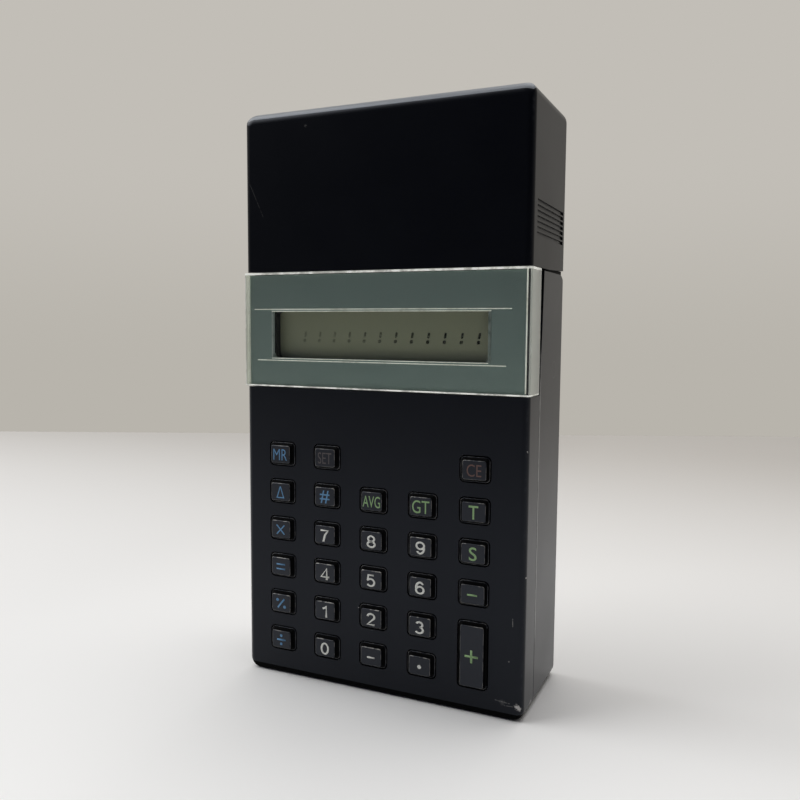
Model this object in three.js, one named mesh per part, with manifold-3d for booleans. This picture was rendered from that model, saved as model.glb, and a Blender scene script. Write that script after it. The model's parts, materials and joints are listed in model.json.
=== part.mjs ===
// Pocket business calculator that stands on its bottom end.
// Millimetres. +X is to the right of someone who faces the keys, +Y goes into the body, +Z is up.
// The working origin is the middle of the bottom edge of the front face; the whole part is
// moved at the end, so that the origin is the middle of the box that holds it, at its bottom.

import * as THREE from 'three';
import { mergeVertices } from 'three/addons/utils/BufferGeometryUtils.js';
import Module from 'manifold-3d';

const wasm = await Module();
wasm.setup();

// Body
const bodyWidth = 80;
const bodyHeight = 153.5;
const bodyDepth = 33;
const cornerRadius = 3;
const edgeRadius = 1.7;
const wall = 1.8;
const fit = 0.3;
const overrun = 5;

// Pull-off cap
const capHeightShare = 0.275;
const capGap = 0.5;
const capShoulderRadius = 5;
const grooveCount = 7;
const groovePitch = 1.28;
const grooveWidth = 0.66;
const grooveDepth = 0.5;
const grooveRiseHeight = 11.6;
const grooveFrontMargin = 5;
const grooveBackMargin = 3;

// Front and rear shells
const frontShellDepth = 9.65;
const panelThickness = 2;
const shellShoulderRadius = 4;
const gapLeanDepth = 2.2;
const recessSideMargin = 14;
const recessHeight = 22;
const recessDepth = 0.4;
const recessDropHeight = 27;

// Display band
const bandHeightShare = 0.1974;
const coverThickness = 1;
const coverStepDepth = 0.3;
const coverEdgeRadius = 0.6;
const flankLength = 8.7;
const plateThickness = 0.5;
const windowSideMargin = 5.75;
const windowEdgeMargin = 8.95;
const windowShiftWidth = 1;
const windowDropHeight = 1.12;
const windowRadius = 1.2;
const holderRimWidth = 1.2;
const holderWallThickness = 1.2;

// Liquid crystal panel
const glassSideMargin = 2.35;
const glassEdgeMargin = 3.8;
const glassThickness = 1.8;
const stripHeight = 2.4;
const stripMargin = 2;
const reflectorThickness = 0.3;

// Keys
const keyFieldMargin = 8.19;
const topRowMargin = 18.04;
const keyFieldShiftWidth = 0.5;
const openingWidthShare = 0.6;
const openingHeightShare = 0.627;
const openingRadius = 0.9;
const buttonHeight = 1.4;
const buttonTaperWidth = 0.45;
const rimWidth = 0.62;
const flangeLapWidth = 0.4;
const flangeThickness = 0.8;
const plungerWidth = 3;

// Rubber mat and circuit board
const matThickness = 0.6;
const domeHeight = 1.1;
const domeRadius = 2.6;
const domeTopRadius = 1.6;
const domeFrontDepth = 6.5;
const matMargin = 4;
const boardThickness = 1.6;
const boardTopGap = 1.7;

// Screws and their bosses
const screwRadius = 0.9;
const screwHeadRadius = 2.1;
const screwHeadThickness = 1.6;
const screwSocketRadius = 0.9;
const screwSeatGap = 4.9;
const bossRadius = 2.3;
const towerRadius = 3.3;
const lowerScrewMargin = 4.5;
const lowerScrewHeight = 5;
const upperScrewMargin = 6;
const upperScrewDropHeight = 7;

// Battery tray, cells and contacts
const trayWallThickness = 1.5;
const trayFootHeight = 3.6;
const trayTopGap = 4.3;
const bayPocketWidth = 6.7;
const cellRibThickness = 2.5;
const nubRadius = 2.7;
const nubLength = 1;
const catchHeight = 1.4;
const catchWidth = 1.3;
const catchMargin = 4;
const contactThickness = 0.4;
const tailWidth = 2;
const leafLength = 6.9;
const leafWidth = 6;

// Power switch
const switchGap = 3.5;
const switchMargin = 8;
const switchTravelLength = 4;
const knobLength = 7;
const knobWidth = 3;
const knobStepDepth = 0.2;
const knobFlangeLapWidth = 1;
const knobFlangeThickness = 0.7;
const switchBodyWidth = 5;

// Parts on the back of the board
const chipHeight = 2.6;
const processorWidth = 16;
const driverLength = 26;
const driverWidth = 9;
const capacitorRadius = 2.5;
const capacitorLength = 9;

// Roundness
const cornerSteps = 3;
const keyCornerSteps = 1;
const edgeSteps = 3;
const roundSides = 16;
const cellSides = 20;
const domeSides = 8;
const socketSides = 6;

// Places that follow from the sizes above: body and display band
const halfWidth = bodyWidth / 2;
const innerHalfWidth = halfWidth - wall;
const innerBack = bodyDepth - wall;
const capHeight = bodyHeight * capHeightShare;
const capBottom = bodyHeight - capHeight;
const bandTop = capBottom - capGap;
const bandHeight = bodyHeight * bandHeightShare;
const bandBottom = bandTop - bandHeight;
const panelTop = bandBottom - fit;
const rearShellFront = frontShellDepth + fit;
const rearShellTop = capBottom - fit;
const coverFront = -coverStepDepth;
const coverHalfWidth = halfWidth + coverStepDepth;
const plateFront = coverFront + coverThickness + fit;
const plateHalfWidth = coverHalfWidth - coverThickness - fit;
const seatFront = plateFront + plateThickness + fit;
const seatHalfWidth = plateHalfWidth - plateThickness - fit;
const seatBack = seatFront + wall - fit / 2;
const seatInnerHalfWidth = seatHalfWidth - wall;

// Window and what lies behind it
const windowWidth = 2 * (seatInnerHalfWidth - windowSideMargin);
const windowHeight = bandHeight - 2 * windowEdgeMargin;
const windowMiddle = -windowShiftWidth;
const windowCentre = bandBottom + bandHeight / 2 - windowDropHeight;
const windowLeft = windowMiddle - windowWidth / 2;
const windowBottom = windowCentre - windowHeight / 2;
const glassWidth = windowWidth + 2 * glassSideMargin;
const glassHeight = windowHeight + 2 * glassEdgeMargin;
const stripLength = glassWidth - 2 * stripMargin;
const lipBack = seatBack + fit + plateThickness;
const glassFront = lipBack + fit;
const glassBack = glassFront + glassThickness;

// Keys, mat and board
const columnCount = 5;
const rowCount = 6;
const columnPitch = (bodyWidth - 2 * keyFieldMargin) / (columnCount - 1 + openingWidthShare);
const rowPitch = (panelTop - topRowMargin) / rowCount;
const openingWidth = columnPitch * openingWidthShare;
const openingHeight = rowPitch * openingHeightShare;
const matFront = domeFrontDepth + domeHeight;
const boardFront = matFront + matThickness + fit;
const boardBack = boardFront + boardThickness;
const boardBottom = wall + 2 * fit;
const screwSeat = boardBack + screwSeatGap;
const upperScrewRise = panelTop - upperScrewDropHeight;

// Battery tray, with the cells sized by the room under the cap
const trayHalfWidth = innerHalfWidth - fit;
const trayFront = wall + fit;
const trayBack = innerBack - fit;
const trayBottom = bandTop + fit;
const trayTop = bodyHeight - wall - trayTopGap;
const footBottom = trayBottom - trayFootHeight;
const footHalfWidth = seatInnerHalfWidth - fit;
const boardTop = footBottom - boardTopGap;
const catchFront = rearShellFront + catchMargin;
const catchBack = innerBack - catchMargin;
const bayBottom = trayBottom + 2 * fit + trayWallThickness;
const bayHeight = (trayTop - trayWallThickness - cellRibThickness - bayBottom) / 2;
const upperBayBottom = bayBottom + bayHeight + cellRibThickness;
const bayHalfLength = trayHalfWidth - trayWallThickness - bayPocketWidth;
const cellRadius = bayHeight / 2 - fit;
const bayFront = trayBack - 2 * cellRadius - 2 * fit;
const contactPlane = bayHalfLength - fit - contactThickness;
const cellLength = 2 * contactPlane - leafLength - 2 * fit - nubLength;
const farTail = bayFront + 2 * fit;
const nearTail = farTail + tailWidth + 2 * wall;

// Power switch
const switchRise = bandBottom + switchGap;
const switchMiddle = rearShellFront + switchMargin;

const screwPlaces = [
  ['lower_left', lowerScrewMargin - halfWidth, lowerScrewHeight],
  ['lower_right', halfWidth - lowerScrewMargin, lowerScrewHeight],
  ['upper_left', upperScrewMargin - halfWidth, upperScrewRise],
  ['upper_right', halfWidth - upperScrewMargin, upperScrewRise],
];

// Each key: its name, its column from the left, its row from the top, and the rows it covers
const keyPlaces = [
  ['memory_recall', 0, 0], ['delta', 0, 1], ['times', 0, 2],
  ['equals', 0, 3], ['percent', 0, 4], ['divide', 0, 5],
  ['set', 1, 0], ['number_sign', 1, 1], ['digit_7', 1, 2],
  ['digit_4', 1, 3], ['digit_1', 1, 4], ['digit_0', 1, 5],
  ['average', 2, 1], ['digit_8', 2, 2], ['digit_5', 2, 3], ['digit_2', 2, 4], ['minus', 2, 5],
  ['grand_total', 3, 1], ['digit_9', 3, 2], ['digit_6', 3, 3], ['digit_3', 3, 4], ['point', 3, 5],
  ['clear', 4, 0], ['total', 4, 1], ['subtotal', 4, 2], ['subtract', 4, 3], ['add', 4, 4, 2],
];

// Each colour with its roughness and metalness
const blackShell = { color: 0x15161a, roughness: 0.55, metalness: 0 };
const blackKey = { color: 0x2b2d33, roughness: 0.4, metalness: 0 };
const clearPlastic = { color: 0xdfe6e2, roughness: 0.08, metalness: 0, transparent: true, opacity: 0.35 };
const greenGreyMetal = { color: 0x4f5d57, roughness: 0.35, metalness: 0.8 };
const blackHolder = { color: 0x0c0d0f, roughness: 0.5, metalness: 0 };
const oliveGlass = { color: 0x6a6a50, roughness: 0.15, metalness: 0 };
const paleReflector = { color: 0x8f907a, roughness: 0.5, metalness: 0.3 };
const greyRubber = { color: 0x6d6f70, roughness: 0.85, metalness: 0 };
const boardGreen = { color: 0x2f5d3a, roughness: 0.6, metalness: 0 };
const chipBlack = { color: 0x1b1b1d, roughness: 0.5, metalness: 0 };
const steel = { color: 0xb5b7b9, roughness: 0.35, metalness: 1 };
const trayGrey = { color: 0x2a2b2d, roughness: 0.6, metalness: 0 };
const cellSleeve = { color: 0xa9aeb2, roughness: 0.35, metalness: 0.5 };
const springBrass = { color: 0xc7b27a, roughness: 0.35, metalness: 1 };

// Solids that can be joined and cut
function solidOf(geometry) {
  geometry.deleteAttribute('normal');
  geometry.deleteAttribute('uv');
  const merged = mergeVertices(geometry);
  const corners = merged.index.array;
  const kept = [];
  for (let i = 0; i < corners.length; i += 3) {
    const [a, b, c] = [corners[i], corners[i + 1], corners[i + 2]];
    if (a !== b && b !== c && c !== a) kept.push(a, b, c);
  }
  return new wasm.Manifold(new wasm.Mesh({
    numProp: 3,
    vertProperties: Float32Array.from(merged.getAttribute('position').array),
    triVerts: Uint32Array.from(kept),
  }));
}

function geometryOf(solid) {
  const { vertProperties, triVerts } = solid.getMesh();
  const geometry = new THREE.BufferGeometry();
  geometry.setAttribute('position', new THREE.BufferAttribute(vertProperties, 3));
  geometry.setIndex(new THREE.BufferAttribute(triVerts, 1));
  geometry.computeVertexNormals();
  return geometry;
}

const join = (first, ...others) => others.reduce((made, next) => made.add(next), first);
const cut = (first, ...others) => others.reduce((made, next) => made.subtract(next), first);

function block(left, right, front, back, bottom, top) {
  const geometry = new THREE.BoxGeometry(right - left, back - front, top - bottom);
  geometry.translate((left + right) / 2, (front + back) / 2, (bottom + top) / 2);
  return solidOf(geometry);
}

// A rectangle with round corners, seen from the front
function roundedRect(width, height, radius, centreX = 0, centreZ = 0) {
  const [left, right] = [centreX - width / 2, centreX + width / 2];
  const [bottom, top] = [centreZ - height / 2, centreZ + height / 2];
  const turn = Math.PI / 2;
  const shape = new THREE.Shape();
  shape.moveTo(left + radius, bottom);
  shape.absarc(right - radius, bottom + radius, radius, -turn, 0);
  shape.absarc(right - radius, top - radius, radius, 0, turn);
  shape.absarc(left + radius, top - radius, radius, turn, 2 * turn);
  shape.absarc(left + radius, bottom + radius, radius, 2 * turn, 3 * turn);
  return shape;
}

// An outline seen from the front, from one depth to another, with round front and back edges if asked
function slabGeometry(outline, front, back, steps = cornerSteps, rounding = 0) {
  const geometry = new THREE.ExtrudeGeometry(outline, {
    depth: back - front - 2 * rounding,
    curveSegments: steps,
    bevelEnabled: rounding > 0,
    bevelThickness: rounding,
    bevelSize: rounding,
    bevelOffset: -rounding,
    bevelSegments: edgeSteps,
  });
  geometry.rotateX(Math.PI / 2);
  geometry.translate(0, back - rounding, 0);
  return geometry;
}

const slab = (...sizes) => solidOf(slabGeometry(...sizes));

// An outline seen from the side (Y across, Z up), from one X to another
function sidePrism(outline, left, right) {
  const geometry = new THREE.ExtrudeGeometry(outline, {
    depth: right - left,
    curveSegments: cornerSteps,
    bevelEnabled: false,
  });
  const across = new THREE.Vector3(0, 1, 0);
  const up = new THREE.Vector3(0, 0, 1);
  const along = new THREE.Vector3(1, 0, 0);
  geometry.applyMatrix4(new THREE.Matrix4().makeBasis(across, up, along));
  geometry.translate(left, 0, 0);
  return solidOf(geometry);
}

// An outline seen from above (X across, Y into the body), from one height to another
function levelPrism(outline, bottom, top) {
  const geometry = new THREE.ExtrudeGeometry(outline, {
    depth: top - bottom,
    curveSegments: cornerSteps,
    bevelEnabled: false,
  });
  geometry.translate(0, 0, bottom);
  return solidOf(geometry);
}

// A round post along Y
function post(x, z, radius, front, back, sides = roundSides, frontRadius = radius) {
  const geometry = new THREE.CylinderGeometry(radius, frontRadius, back - front, sides);
  geometry.translate(x, (front + back) / 2, z);
  return solidOf(geometry);
}

const calculator = new THREE.Group();

function addPart(name, solid, finish, parent = calculator) {
  const mesh = new THREE.Mesh(geometryOf(solid), new THREE.MeshStandardMaterial(finish));
  mesh.name = name;
  parent.add(mesh);
  return mesh;
}

// The brick shape of the whole body, drawn in by an inset, from one height to another,
// with a rounder shoulder at the top of the back
function bodyBrick(inset, bottom, top, shoulder, rounding) {
  const outline = roundedRect(
    bodyWidth - 2 * inset, bodyHeight - 2 * inset, cornerRadius, 0, bodyHeight / 2,
  );
  const back = bodyDepth - inset;
  const side = new THREE.Shape();
  side.moveTo(-overrun, bottom);
  side.lineTo(back, bottom);
  side.absarc(back - shoulder, top - shoulder, shoulder, 0, Math.PI / 2);
  side.lineTo(-overrun, top);
  const keptPart = sidePrism(side, -halfWidth - overrun, halfWidth + overrun);
  return slab(outline, inset, back, cornerSteps, rounding).intersect(keptPart);
}

// Cap: a hollow cover over the battery space, with grip grooves on both sides
function cap() {
  const outside = bodyBrick(0, capBottom, bodyHeight, capShoulderRadius, edgeRadius);
  const hollow = bodyBrick(wall, 0, bodyHeight - wall, capShoulderRadius - wall, 0);
  const grooves = [];
  for (let i = 0; i < grooveCount; i += 1) {
    const middle = capBottom + grooveRiseHeight + (i - (grooveCount - 1) / 2) * groovePitch;
    for (const side of [-1, 1]) {
      const bottomOfGroove = side * (halfWidth - grooveDepth);
      const outside = side * (halfWidth + overrun);
      grooves.push(block(
        Math.min(bottomOfGroove, outside),
        Math.max(bottomOfGroove, outside),
        grooveFrontMargin,
        bodyDepth - grooveBackMargin,
        middle - grooveWidth / 2,
        middle + grooveWidth / 2,
      ));
    }
  }
  return cut(outside, hollow, ...grooves);
}

addPart('cap', cap(), blackShell);

// Places of the key openings
function keyCentre(column, row, rows = 1) {
  return {
    x: (column - (columnCount - 1) / 2) * columnPitch - keyFieldShiftWidth,
    z: (rowCount - row - (rows - 1) / 2) * rowPitch,
    tallness: (rows - 1) * rowPitch,
  };
}

// Front shell: the key panel, and above it the sunk seat of the display
function frontShell() {
  const panel = bodyBrick(0, -overrun, panelTop, shellShoulderRadius, edgeRadius)
    .intersect(block(-halfWidth, halfWidth, 0, frontShellDepth, 0, panelTop));
  const seat = block(-seatHalfWidth, seatHalfWidth, seatFront, frontShellDepth, panelTop - wall, bandTop);
  const keySpace = block(
    -innerHalfWidth, innerHalfWidth, panelThickness, frontShellDepth + overrun, wall, panelTop - wall,
  );
  const displaySpace = block(
    -seatInnerHalfWidth, seatInnerHalfWidth, seatBack, frontShellDepth + overrun,
    panelTop - 2 * wall, bandTop + overrun,
  );
  const window = slab(
    roundedRect(
      windowWidth + 2 * (holderRimWidth + fit),
      windowHeight + 2 * (holderRimWidth + fit),
      windowRadius + holderRimWidth + fit,
      windowMiddle,
      windowCentre,
    ),
    seatFront - overrun,
    seatBack + fit,
  );
  let shell = cut(join(panel, seat), keySpace, displaySpace, window);
  for (const [, x, z] of screwPlaces) {
    shell = join(shell, post(x, z, bossRadius, panelThickness - fit, boardFront - fit));
  }
  for (const [, x, z] of screwPlaces) {
    shell = cut(shell, post(x, z, screwRadius + fit, panelThickness + fit, frontShellDepth + overrun));
  }
  for (const [, column, row, rows] of keyPlaces) {
    const { x, z, tallness } = keyCentre(column, row, rows);
    const outline = roundedRect(openingWidth, openingHeight + tallness, openingRadius, x, z);
    shell = cut(shell, slab(outline, -overrun, panelThickness + fit, keyCornerSteps));
  }
  return shell;
}

addPart('front_shell', frontShell(), blackShell);

// Rear shell: the deep back, with screw towers, a switch slot and a shallow bare recess
function rearShell() {
  const edge = new THREE.Shape();
  edge.moveTo(rearShellFront - overrun, panelTop);
  edge.lineTo(rearShellFront, panelTop);
  edge.lineTo(rearShellFront + gapLeanDepth, rearShellTop + overrun);
  edge.lineTo(rearShellFront - overrun, rearShellTop + overrun);
  const outside = cut(
    bodyBrick(0, -overrun, rearShellTop, shellShoulderRadius, edgeRadius)
      .intersect(block(-halfWidth, halfWidth, rearShellFront, bodyDepth, 0, rearShellTop)),
    sidePrism(edge, -halfWidth - overrun, halfWidth + overrun),
  );
  const hollow = block(
    -innerHalfWidth, innerHalfWidth, rearShellFront - overrun, innerBack, wall, rearShellTop + overrun,
  );
  const recess = slab(
    roundedRect(
      bodyWidth - 2 * recessSideMargin, recessHeight, openingRadius, 0, upperScrewRise - recessDropHeight,
    ),
    bodyDepth - recessDepth,
    bodyDepth + overrun,
  );
  const slot = block(
    -halfWidth - overrun, -innerHalfWidth + fit,
    switchMiddle - knobWidth / 2 - fit, switchMiddle + knobWidth / 2 + fit,
    switchRise - fit, switchRise + knobLength + switchTravelLength + fit,
  );
  const catches = [-1, 1].map((side) => block(
    Math.min(side * (innerHalfWidth + fit), side * (innerHalfWidth - catchWidth)),
    Math.max(side * (innerHalfWidth + fit), side * (innerHalfWidth - catchWidth)),
    catchFront, catchBack, footBottom + catchHeight + fit, footBottom + 2 * catchHeight,
  ));
  let shell = join(cut(outside, hollow, recess, slot), ...catches);
  for (const [, x, z] of screwPlaces) {
    shell = join(shell, post(x, z, towerRadius, boardBack + fit, innerBack + fit));
  }
  for (const [, x, z] of screwPlaces) {
    const clearance = post(x, z, screwRadius + fit, boardFront, bodyDepth + overrun);
    const counterbore = post(x, z, screwHeadRadius + fit, screwSeat, bodyDepth + overrun);
    shell = cut(shell, clearance, counterbore);
  }
  return shell;
}

addPart('rear_shell', rearShell(), blackShell);

// A channel seen from above: a front wall with two side walls that run into the body
function channel(halfOuter, front, thickness, sideBack, radius) {
  const shape = new THREE.Shape();
  const turn = Math.PI / 2;
  shape.moveTo(-halfOuter + thickness, sideBack);
  shape.lineTo(-halfOuter, sideBack);
  shape.absarc(-halfOuter + radius, front + radius, radius, 2 * turn, 3 * turn);
  shape.absarc(halfOuter - radius, front + radius, radius, 3 * turn, 4 * turn);
  shape.lineTo(halfOuter, sideBack);
  shape.lineTo(halfOuter - thickness, sideBack);
  shape.lineTo(halfOuter - thickness, front + thickness);
  shape.lineTo(-halfOuter + thickness, front + thickness);
  return shape;
}

// Display cover of clear plastic, and the metal plate under it with its window
const coverOutline = channel(coverHalfWidth, coverFront, coverThickness, flankLength, coverEdgeRadius);
addPart('window_cover', levelPrism(coverOutline, bandBottom, bandTop), clearPlastic);

function displayPlate() {
  const sideBack = flankLength - fit;
  const outline = channel(plateHalfWidth, plateFront, plateThickness, sideBack, plateThickness / 2);
  const opening = block(
    windowLeft, windowLeft + windowWidth, plateFront - overrun, seatFront,
    windowBottom, windowBottom + windowHeight,
  );
  return cut(levelPrism(outline, bandBottom + fit, bandTop - fit), opening);
}

addPart('display_plate', displayPlate(), greenGreyMetal);

// Holder of the liquid crystal panel: its rim lines the window, its box takes glass and strips
function displayHolder() {
  const rimOutline = roundedRect(
    windowWidth + 2 * holderRimWidth, windowHeight + 2 * holderRimWidth, windowRadius + holderRimWidth,
    windowMiddle, windowCentre,
  );
  const boxHalf = glassWidth / 2 + fit + holderWallThickness;
  const boxHalfHeight = glassHeight / 2 + fit + holderWallThickness;
  const rim = slab(rimOutline, seatFront, lipBack);
  const box = block(
    windowMiddle - boxHalf, windowMiddle + boxHalf, seatBack + fit, boardFront - fit,
    windowCentre - boxHalfHeight, windowCentre + boxHalfHeight,
  );
  const pocket = block(
    windowMiddle - glassWidth / 2 - fit, windowMiddle + glassWidth / 2 + fit, lipBack, boardFront,
    windowCentre - glassHeight / 2 - fit, windowCentre + glassHeight / 2 + fit,
  );
  const opening = slab(
    roundedRect(windowWidth, windowHeight, windowRadius, windowMiddle, windowCentre),
    coverFront,
    lipBack + fit,
  );
  return cut(join(rim, box), pocket, opening);
}

addPart('display_holder', displayHolder(), blackHolder);

function centredBlock(width, height, front, back, centreX, centreZ) {
  return block(
    centreX - width / 2, centreX + width / 2, front, back, centreZ - height / 2, centreZ + height / 2,
  );
}

addPart(
  'lcd_panel',
  centredBlock(glassWidth, glassHeight, glassFront, glassBack, windowMiddle, windowCentre),
  oliveGlass,
);
addPart(
  'lcd_reflector',
  centredBlock(
    windowWidth, windowHeight, glassBack + fit, glassBack + fit + reflectorThickness,
    windowMiddle, windowCentre,
  ),
  paleReflector,
);
for (const [name, side] of [['connector_strip_top', 1], ['connector_strip_bottom', -1]]) {
  const rise = windowCentre + side * (glassHeight - stripHeight) / 2;
  addPart(
    name,
    centredBlock(stripLength, stripHeight, glassBack + fit, boardFront - fit, windowMiddle, rise),
    greyRubber,
  );
}

// A slab whose front face is smaller than its back by an inset on each side
function draftedSlab(width, height, radius, front, back, inset) {
  const geometry = slabGeometry(roundedRect(width, height, radius), front, back, keyCornerSteps);
  const position = geometry.getAttribute('position');
  for (let i = 0; i < position.count; i += 1) {
    if (position.getY(i) < (front + back) / 2) {
      position.setX(i, position.getX(i) * (1 - 2 * inset / width));
      position.setZ(i, position.getZ(i) * (1 - 2 * inset / height));
    }
  }
  return solidOf(geometry);
}

// Key: a raised button on a base that fills the opening, a flange behind the panel and a plunger
function keySolid(tallness) {
  const baseWidth = openingWidth - 2 * fit;
  const baseHeight = openingHeight - 2 * fit + tallness;
  const flangeFront = panelThickness + fit;
  const flangeBack = flangeFront + flangeThickness;
  const base = slab(
    roundedRect(baseWidth, baseHeight, openingRadius - fit), 0, flangeBack, keyCornerSteps,
  );
  const button = draftedSlab(
    baseWidth - 2 * rimWidth, baseHeight - 2 * rimWidth, openingRadius - fit,
    -buttonHeight, panelThickness, buttonTaperWidth,
  );
  const flange = centredBlock(
    openingWidth + 2 * flangeLapWidth,
    openingHeight + tallness + 2 * flangeLapWidth,
    flangeFront,
    flangeBack,
    0,
    0,
  );
  const plunger = centredBlock(plungerWidth, plungerWidth, flangeFront, domeFrontDepth - fit, 0, 0);
  return join(base, button, flange, plunger);
}

for (const [name, column, row, rows] of keyPlaces) {
  const { x, z, tallness } = keyCentre(column, row, rows);
  const key = addPart(`key_${name}`, keySolid(tallness), blackKey);
  key.position.set(x, 0, z);
}

// Rubber mat with one dome under each key
function keypadMat() {
  const halfField = ((columnCount - 1) / 2) * columnPitch + matMargin;
  let mat = block(
    -halfField - keyFieldShiftWidth, halfField - keyFieldShiftWidth, matFront, matFront + matThickness,
    rowPitch - matMargin, rowCount * rowPitch + matMargin,
  );
  for (const [, column, row, rows] of keyPlaces) {
    const { x, z } = keyCentre(column, row, rows);
    const domeBack = matFront + matThickness / 2;
    mat = join(mat, post(x, z, domeRadius, domeFrontDepth, domeBack, domeSides, domeTopRadius));
  }
  return mat;
}

addPart('keypad_mat', keypadMat(), greyRubber);

// Circuit board with holes round the bosses, and what is soldered to its back
function mainBoard() {
  let board = block(
    -innerHalfWidth + 2 * fit, innerHalfWidth - 2 * fit, boardFront, boardBack, boardBottom,
    upperScrewRise + towerRadius + wall,
  );
  board = join(board, block(
    -seatInnerHalfWidth + fit, seatInnerHalfWidth - fit, boardFront, boardBack, boardBottom, boardTop,
  ));
  for (const [, x, z] of screwPlaces) {
    board = cut(board, post(x, z, screwRadius + 2 * fit, boardFront - overrun, boardBack + overrun));
  }
  return board;
}

addPart('main_board', mainBoard(), boardGreen);
addPart(
  'processor_chip',
  centredBlock(processorWidth, processorWidth, boardBack + fit, boardBack + chipHeight, 0, boardTop / 2),
  chipBlack,
);
addPart(
  'driver_chip',
  centredBlock(driverLength, driverWidth, boardBack + fit, boardBack + chipHeight, 0, windowCentre),
  chipBlack,
);
const capacitorMiddle = boardBack + fit + capacitorRadius;
const capacitor = new THREE.CylinderGeometry(capacitorRadius, capacitorRadius, capacitorLength, roundSides);
capacitor.rotateZ(Math.PI / 2);
capacitor.translate(-driverLength / 2, capacitorMiddle, boardTop / 2 + processorWidth);
addPart('capacitor', solidOf(capacitor), steel);

// Case screws, which go in from the back and end in the front shell's bosses
for (const [name, x, z] of screwPlaces) {
  const headFront = screwSeat + fit;
  const shank = post(x, z, screwRadius, panelThickness + 2 * fit, headFront + fit, roundSides / 2);
  const head = post(x, z, screwHeadRadius, headFront, headFront + screwHeadThickness);
  const socket = post(
    x, z, screwSocketRadius, headFront + screwHeadThickness / 2, headFront + screwHeadThickness + overrun,
    socketSides,
  );
  addPart(`case_screw_${name}`, cut(join(shank, head), socket), steel);
}

// Battery tray: the neck that the cap slides over, with two bays that open to the back
function batteryTray() {
  const neck = block(-trayHalfWidth, trayHalfWidth, trayFront, trayBack, trayBottom, trayTop);
  const foot = block(
    -footHalfWidth, footHalfWidth, seatBack + fit, trayBack, footBottom, trayBottom + trayWallThickness,
  );
  const ledge = block(
    -trayHalfWidth, trayHalfWidth, catchFront, catchBack, footBottom, footBottom + catchHeight,
  );
  const roomHalfWidth = trayHalfWidth - trayWallThickness;
  const footRoomHalfWidth = footHalfWidth - trayWallThickness;
  const footRoomFront = seatBack + fit + trayWallThickness;
  const roomBack = bayFront - trayWallThickness;
  const frontRoom = block(
    -roomHalfWidth, roomHalfWidth, trayFront + trayWallThickness, roomBack,
    trayBottom + trayWallThickness, trayTop - trayWallThickness,
  );
  const footRoom = block(
    -footRoomHalfWidth, footRoomHalfWidth, footRoomFront, trayBack - trayWallThickness,
    footBottom - overrun, trayBottom,
  );
  const way = block(
    -footRoomHalfWidth, footRoomHalfWidth, footRoomFront, roomBack,
    trayBottom - trayWallThickness, trayBottom + 2 * trayWallThickness,
  );
  const bays = [bayBottom, upperBayBottom].map((bottom) => block(
    -bayHalfLength, bayHalfLength, bayFront, trayBack + overrun, bottom, bottom + bayHeight,
  ));
  const pockets = [-1, 1].map((side) => {
    const inner = side * (bayHalfLength + trayWallThickness);
    const outer = side * (trayHalfWidth - trayWallThickness);
    return block(
      Math.min(inner, outer), Math.max(inner, outer), bayFront, trayBack + overrun,
      bayBottom, trayTop - trayWallThickness,
    );
  });
  const tailSlot = block(
    contactPlane - fit, bayHalfLength, bayFront + fit, nearTail + tailWidth + fit,
    trayBottom - trayWallThickness, bayBottom + fit,
  );
  const ribSlot = block(
    contactPlane - fit, bayHalfLength, bayFront + fit, farTail + tailWidth + fit,
    bayBottom, upperBayBottom + fit,
  );
  const linkSlot = block(
    -bayHalfLength, -contactPlane + fit, bayFront + fit, trayBack + overrun,
    bayBottom, upperBayBottom + fit,
  );
  return cut(
    join(neck, foot, ledge), frontRoom, footRoom, way, ...bays, ...pockets, tailSlot, ribSlot, linkSlot,
  );
}

addPart('battery_tray', batteryTray(), trayGrey);

// Two cells lie across the tray, head to tail
function cellSolid() {
  const half = (cellLength + nubLength) / 2;
  const profile = [
    [0, -half], [cellRadius, -half], [cellRadius, half - nubLength],
    [nubRadius, half - nubLength], [nubRadius, half], [0, half],
  ].map(([radius, along]) => new THREE.Vector2(radius, along));
  const geometry = new THREE.LatheGeometry(profile, cellSides);
  geometry.rotateZ(-Math.PI / 2);
  return solidOf(geometry);
}

const cellDepth = bayFront + fit + cellRadius;
const cellMiddle = contactPlane - fit - (cellLength + nubLength) / 2;
const cellPlaces = [['battery_cell_lower', bayBottom, 0], ['battery_cell_upper', upperBayBottom, Math.PI]];
for (const [name, bottom, turn] of cellPlaces) {
  const cell = addPart(name, cellSolid(), cellSleeve);
  cell.position.set(cellMiddle, cellDepth, bottom + bayHeight / 2);
  cell.rotation.z = turn;
}

// Flat contacts on the right, each with a tail that runs down to the back of the board
function contactBlank(padBottom, tailFront, tailBottom) {
  const padBack = cellDepth + cellRadius / 2;
  const padTop = padBottom + bayHeight - 2 * wall;
  const pad = block(
    contactPlane, contactPlane + contactThickness, tailFront, padBack, padBottom + wall, padTop,
  );
  const tail = block(
    contactPlane, contactPlane + contactThickness, tailFront, tailFront + tailWidth,
    tailBottom, padBottom + 2 * wall,
  );
  const foot = block(
    contactPlane, contactPlane + contactThickness, boardBack + fit, tailFront + tailWidth,
    tailBottom, tailBottom + tailWidth,
  );
  return join(pad, tail, foot);
}

const upperFoot = boardTop - 2 * tailWidth;
addPart('contact_positive', contactBlank(bayBottom, nearTail, upperFoot - 2 * tailWidth), springBrass);
addPart('contact_negative', contactBlank(upperBayBottom, farTail, upperFoot), springBrass);

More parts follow.
